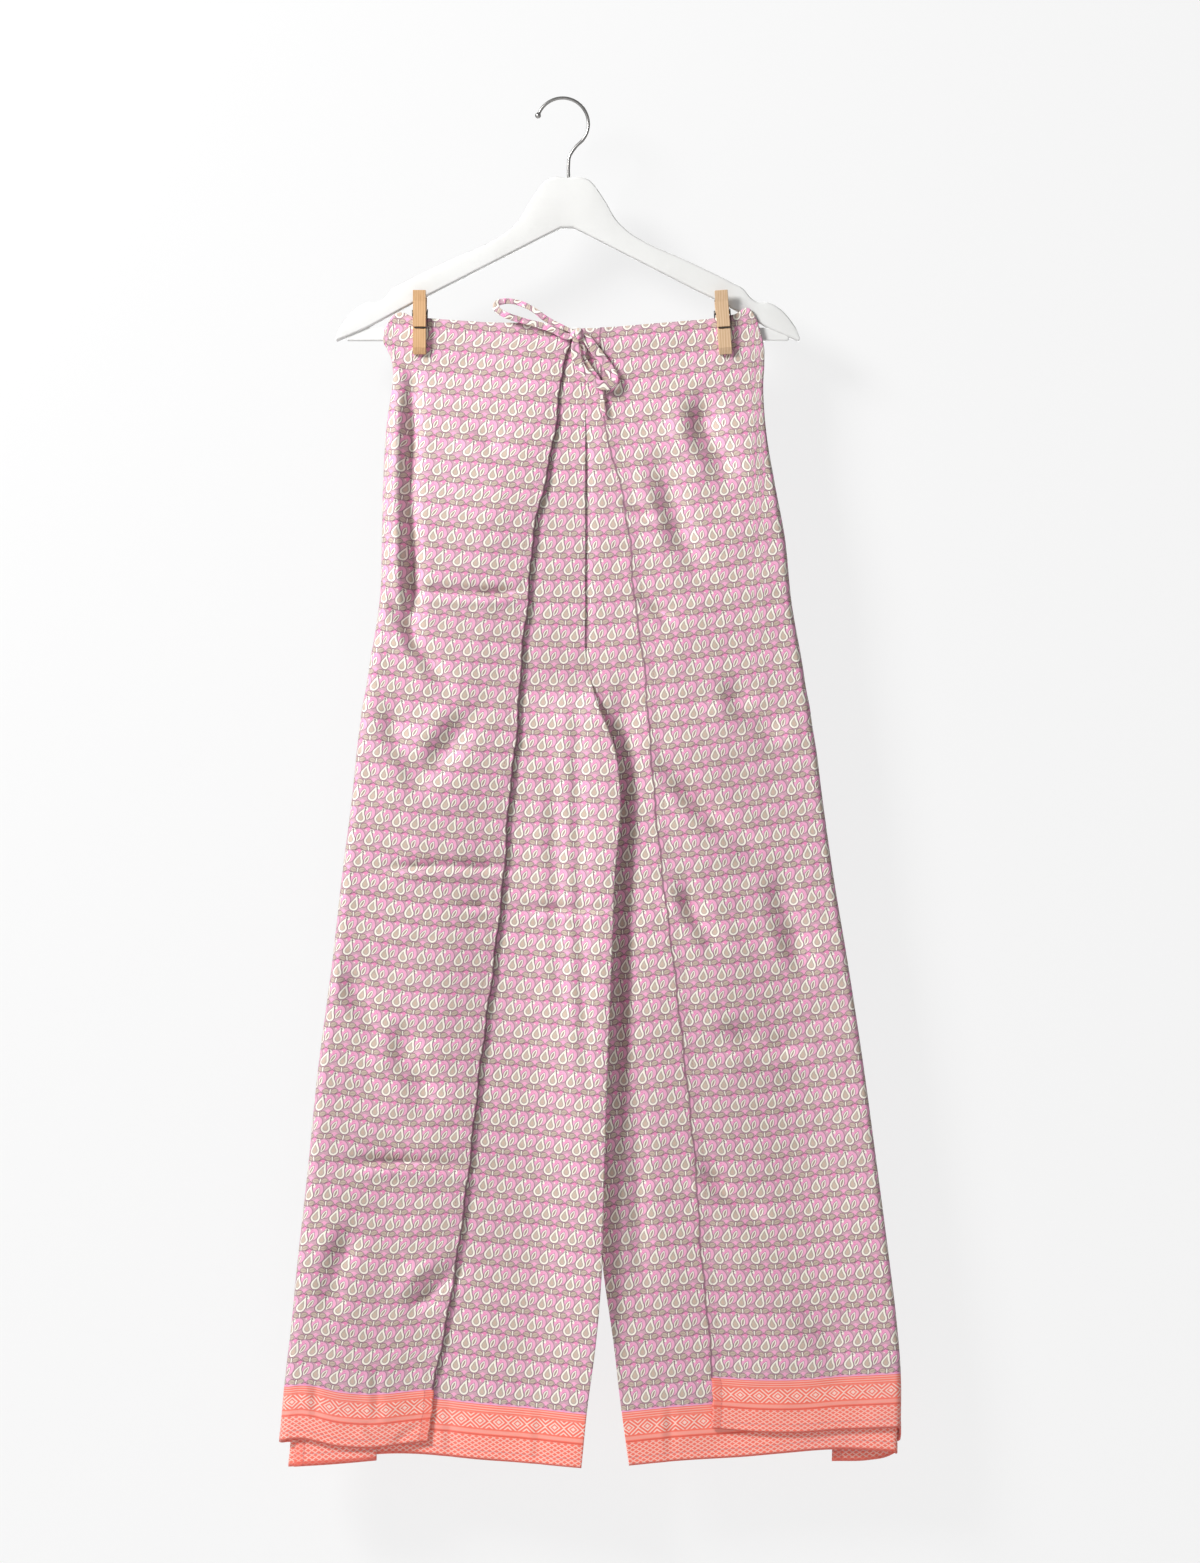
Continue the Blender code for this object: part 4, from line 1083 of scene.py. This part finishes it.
def make_steel(name, colour, roughness):
    """Drawn wire: fine lines along it and a few duller patches."""
    finish, tree, shader = new_finish(name)
    place = tree.nodes.new("ShaderNodeTexCoord").outputs["Object"]
    lines = noise(tree, place, 900.0, 2.0)
    dull = noise(tree, place, 120.0, 2.0)
    tone = paint(colour, [0.72 * c for c in colour], rise(dull, 0.45, 0.75) * 0.5)
    coat(tree, shader, tone, dull * 0.2 + roughness)
    shader.inputs["Metallic"].default_value = 1.0
    emboss(shader, lines, 0.0001, 0.3)
    return finish


paint_finish = make_paint()
hook_finish = make_steel("hook_steel", (176, 174, 172), 0.22)
spring_finish = make_steel("spring_steel", (92, 88, 84), 0.34)

# %% Hanger body and hook
HANGER_CENTRE_X = 0.0053
HANGER_HALF_THICKNESS = 0.005
HANGER_ROUNDING = 0.0024
ARM_TOP = millimetres(
    # from the middle, drop
    (0, 72.7), (13.9, 72.7), (22.2, 77), (28.7, 85.3), (34.2, 93.6), (43.9, 110.3), (55.5, 122.3),
    (71.7, 132.5), (103.6, 146.8), (130.4, 159.3), (152.6, 170.4), (163.7, 176.9), (169.5, 184),
    (175.5, 188), (185.9, 188.6), (193.6, 192.2), (200.5, 197.7), (207.7, 206.5), (212.5, 214.3),
    (215, 221.3),
)
ARM_UNDER = millimetres(
    (0, 119.4), (6, 119.6), (14, 123.5), (120.3, 177.8), (139.7, 187.4), (187.8, 213.4),
    (214, 224.5), (215, 223.6),
)
HOOK_WIRE = 0.0015
HOOK_BALL = 0.0028
HOOK_BEND = 0.0240
HOOK_CENTRE = (0.0005, 0.0225)
HOOK_SHANK = millimetres((15, 41.5), (10, 47.5), (6.9, 53), (6.1, 60), (6.1, 72.3))


def make_hanger_body():
    """Ring at x: a rectangle of half height h and half thickness T with corners of radius r."""
    reach = ARM_TOP[-1][0]
    x = np.linspace(-reach, reach, 521)
    top = smooth_curve(ARM_TOP, np.abs(x))
    under = np.interp(np.abs(x), *zip(*ARM_UNDER))
    half = np.maximum((under - top) / 2.0, 0.0006)[:, None]
    radius = np.minimum(HANGER_ROUNDING, half * 0.9)
    corner = np.repeat([[1, 1], [-1, 1], [-1, -1], [1, -1]], 7, axis=0)
    angle = np.concatenate([np.linspace(k, k + 1, 7) * math.pi / 2.0 for k in range(4)])
    y = corner[:, 0] * (HANGER_HALF_THICKNESS - radius) + radius * np.cos(angle)
    z = corner[:, 1] * (half - radius) + radius * np.sin(angle) - ((top + under) / 2.0)[:, None]
    rings = np.stack([HANGER_CENTRE_X + x[:, None] + 0.0 * y, y, z], axis=2)
    piece = add_tube("hanger_board", rings, paint_finish)
    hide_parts("hanger_body")


def wire_rings(path, radii, sides=20):
    """Rings of round wire that lies in the plane y = 0: across it is the path turned by 90
    degrees in that plane, and y."""
    ahead = np.gradient(path, axis=0)
    ahead /= np.linalg.norm(ahead, axis=1, keepdims=True)
    across = np.cross(ahead, (0.0, 1.0, 0.0))
    angle = np.linspace(0.0, 2.0 * math.pi, sides, endpoint=False)
    ring = (across[:, None] * np.cos(angle)[None, :, None]
            + np.array((0.0, 1.0, 0.0)) * np.sin(angle)[None, :, None])
    return path[:, None] + radii[:, None, None] * ring


def make_hook():
    """Round bend from 168 to -42 degrees, then the shank down into the wood; the tip is a ball."""
    centre_x, centre_drop = HOOK_CENTRE
    angles = np.radians(np.linspace(168.0, -42.0, 24))
    bend = [(centre_x + HOOK_BEND * math.cos(a), 0.0, centre_drop - HOOK_BEND * math.sin(a))
            for a in angles]
    path = dense_path(bend + [(x, 0.0, drop) for x, drop in HOOK_SHANK], 150)
    from_tip = travelled(path)
    ball = HOOK_BALL * np.sqrt(np.clip(1.0 - ((from_tip - HOOK_BALL) / HOOK_BALL) ** 2, 0.0, 1.0))
    radii = np.maximum(HOOK_WIRE * ease(-0.0004, 0.0010, from_tip), ball)
    piece = add_tube("hook_wire", wire_rings(path, radii), hook_finish)
    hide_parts("hanger_hook")


make_hanger_body()
make_hook()
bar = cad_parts["hanger_bar"]
bar.data.materials.clear()
bar.data.materials.append(paint_finish)

# %% [markdown]
# The pegs are plain beech, sawn and tumbled but not varnished. Growth rings make darker lines
# along each prong. The design's own solids have the right shape, with jaws, groove and rounded
# edges, so they stay, and only their finish is made here.

# %% Peg wood
def make_wood(name, light, dark, lean):
    """Bands of growth rings: waves across x, bent by noise stretched along the prong."""
    finish, tree, shader = new_finish(name)
    place = tree.nodes.new("ShaderNodeTexCoord").outputs["Object"]
    bent = noise(tree, place, 60.0, 3.0, (1.0, 1.0, 0.12))
    x, y, z = split(tree, place)
    rings = ((x + z * lean) * 2600.0 + y * 900.0 + bent * 14.0).math("SINE") * 0.5 + 0.5
    fibres = noise(tree, place, 900.0, 2.0, (1.0, 1.0, 0.05))
    colour = paint(light, dark, rings * 0.45 + rise(fibres, 0.4, 0.8) * 0.35)
    coat(tree, shader, colour, fibres * 0.2 + 0.5)
    emboss(shader, rings * 0.3 + fibres, 0.0002, 0.5)
    return finish


WOODS = {
    "left": make_wood("peg_wood_left", (212, 172, 128), (176, 128, 80), 0.0),
    "right": make_wood("peg_wood_right", (216, 186, 152), (184, 144, 104), 0.073),
}
for side_name, wood in WOODS.items():
    for part in ("front", "back", "spring"):
        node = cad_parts["peg_%s_%s" % (side_name, part)]
        node.data.materials.clear()
        node.data.materials.append(spring_finish if part == "spring" else wood)

# %% [markdown]
# The studio is a pale floor and a pale wall 5 cm behind the hanger, which takes the soft shadows.
# The wall is a single sheet that can't be seen from behind, and only the camera sees it, so it
# neither hides the back of the garment in other views nor shades it. A large soft light stands
# up on the left, a weaker one fills the right, and the world gives an even white.

# %% Studio
WALL_Y = 0.050
FLOOR_Z = -1.60
WALL_HALF = 3.0
WALL_TOP = 2.0
FLOOR_HALF = 6.0


def stage_sheet(name, corners, finish):
    mesh = bpy.data.meshes.new(name)
    mesh.from_pydata(corners, [], [(0, 1, 2, 3)])
    mesh.materials.append(finish)
    sheet = put_in_scene(name, mesh)
    return sheet


def plain_finish(name, colour):
    finish, _, shader = new_finish(name)
    shader.inputs["Base Color"].default_value = shade(colour)
    shader.inputs["Roughness"].default_value = 0.9
    return finish


def one_sided(finish):
    """Lets the back of every face through."""
    tree = finish.node_tree
    shader = tree.nodes["Principled BSDF"]
    side = tree.nodes.new("ShaderNodeNewGeometry")
    clear = tree.nodes.new("ShaderNodeBsdfTransparent")
    either = tree.nodes.new("ShaderNodeMixShader")
    tree.links.new(side.outputs["Backfacing"], either.inputs["Fac"])
    tree.links.new(shader.outputs["BSDF"], either.inputs[1])
    tree.links.new(clear.outputs["BSDF"], either.inputs[2])
    tree.links.new(either.outputs["Shader"], tree.nodes["Material Output"].inputs["Surface"])


wall_finish = plain_finish("wall", (92, 92, 92))
glow = wall_finish.node_tree.nodes["Principled BSDF"]
glow.inputs["Emission Color"].default_value = (1.0, 1.0, 1.0, 1.0)
glow.inputs["Emission Strength"].default_value = 0.80
one_sided(wall_finish)
wall = stage_sheet("wall", [(-WALL_HALF, WALL_Y, FLOOR_Z), (WALL_HALF, WALL_Y, FLOOR_Z),
                            (WALL_HALF, WALL_Y, WALL_TOP), (-WALL_HALF, WALL_Y, WALL_TOP)],
                   wall_finish)
wall.visible_diffuse = False
wall.visible_glossy = False
wall.visible_transmission = False
wall.visible_shadow = False
stage_sheet("floor", [(x * FLOOR_HALF, y * FLOOR_HALF, FLOOR_Z)
                      for x, y in ((-1, -1), (1, -1), (1, 1), (-1, 1))],
            plain_finish("floor", (238, 238, 238)))


def soft_light(name, place, target, size, power):
    light = bpy.data.lights.new(name, "AREA")
    light.shape = "DISK"
    light.size = size
    light.energy = power
    lamp = put_in_scene(name, light)
    lamp.location = place
    aim = np.array(target) - np.array(place)
    lamp.rotation_euler = Vector(aim).to_track_quat("-Z", "Y").to_euler()


MIDDLE = (0.03, 0.0, -0.65)
soft_light("key_light", (-1.7, -1.35, 0.9), MIDDLE, 0.8, 90.0)
soft_light("fill_light", (1.2, -3.6, -0.4), MIDDLE, 2.2, 6.0)
soft_light("back_light", (0.6, 3.0, 0.4), MIDDLE, 2.4, 40.0)

world = bpy.data.worlds.new("studio_air")
world.use_nodes = True
world.node_tree.nodes["Background"].inputs["Color"].default_value = (1.0, 1.0, 1.0, 1.0)
world.node_tree.nodes["Background"].inputs["Strength"].default_value = 0.25
bpy.context.scene.world = world
bpy.context.scene.view_settings.view_transform = "Standard"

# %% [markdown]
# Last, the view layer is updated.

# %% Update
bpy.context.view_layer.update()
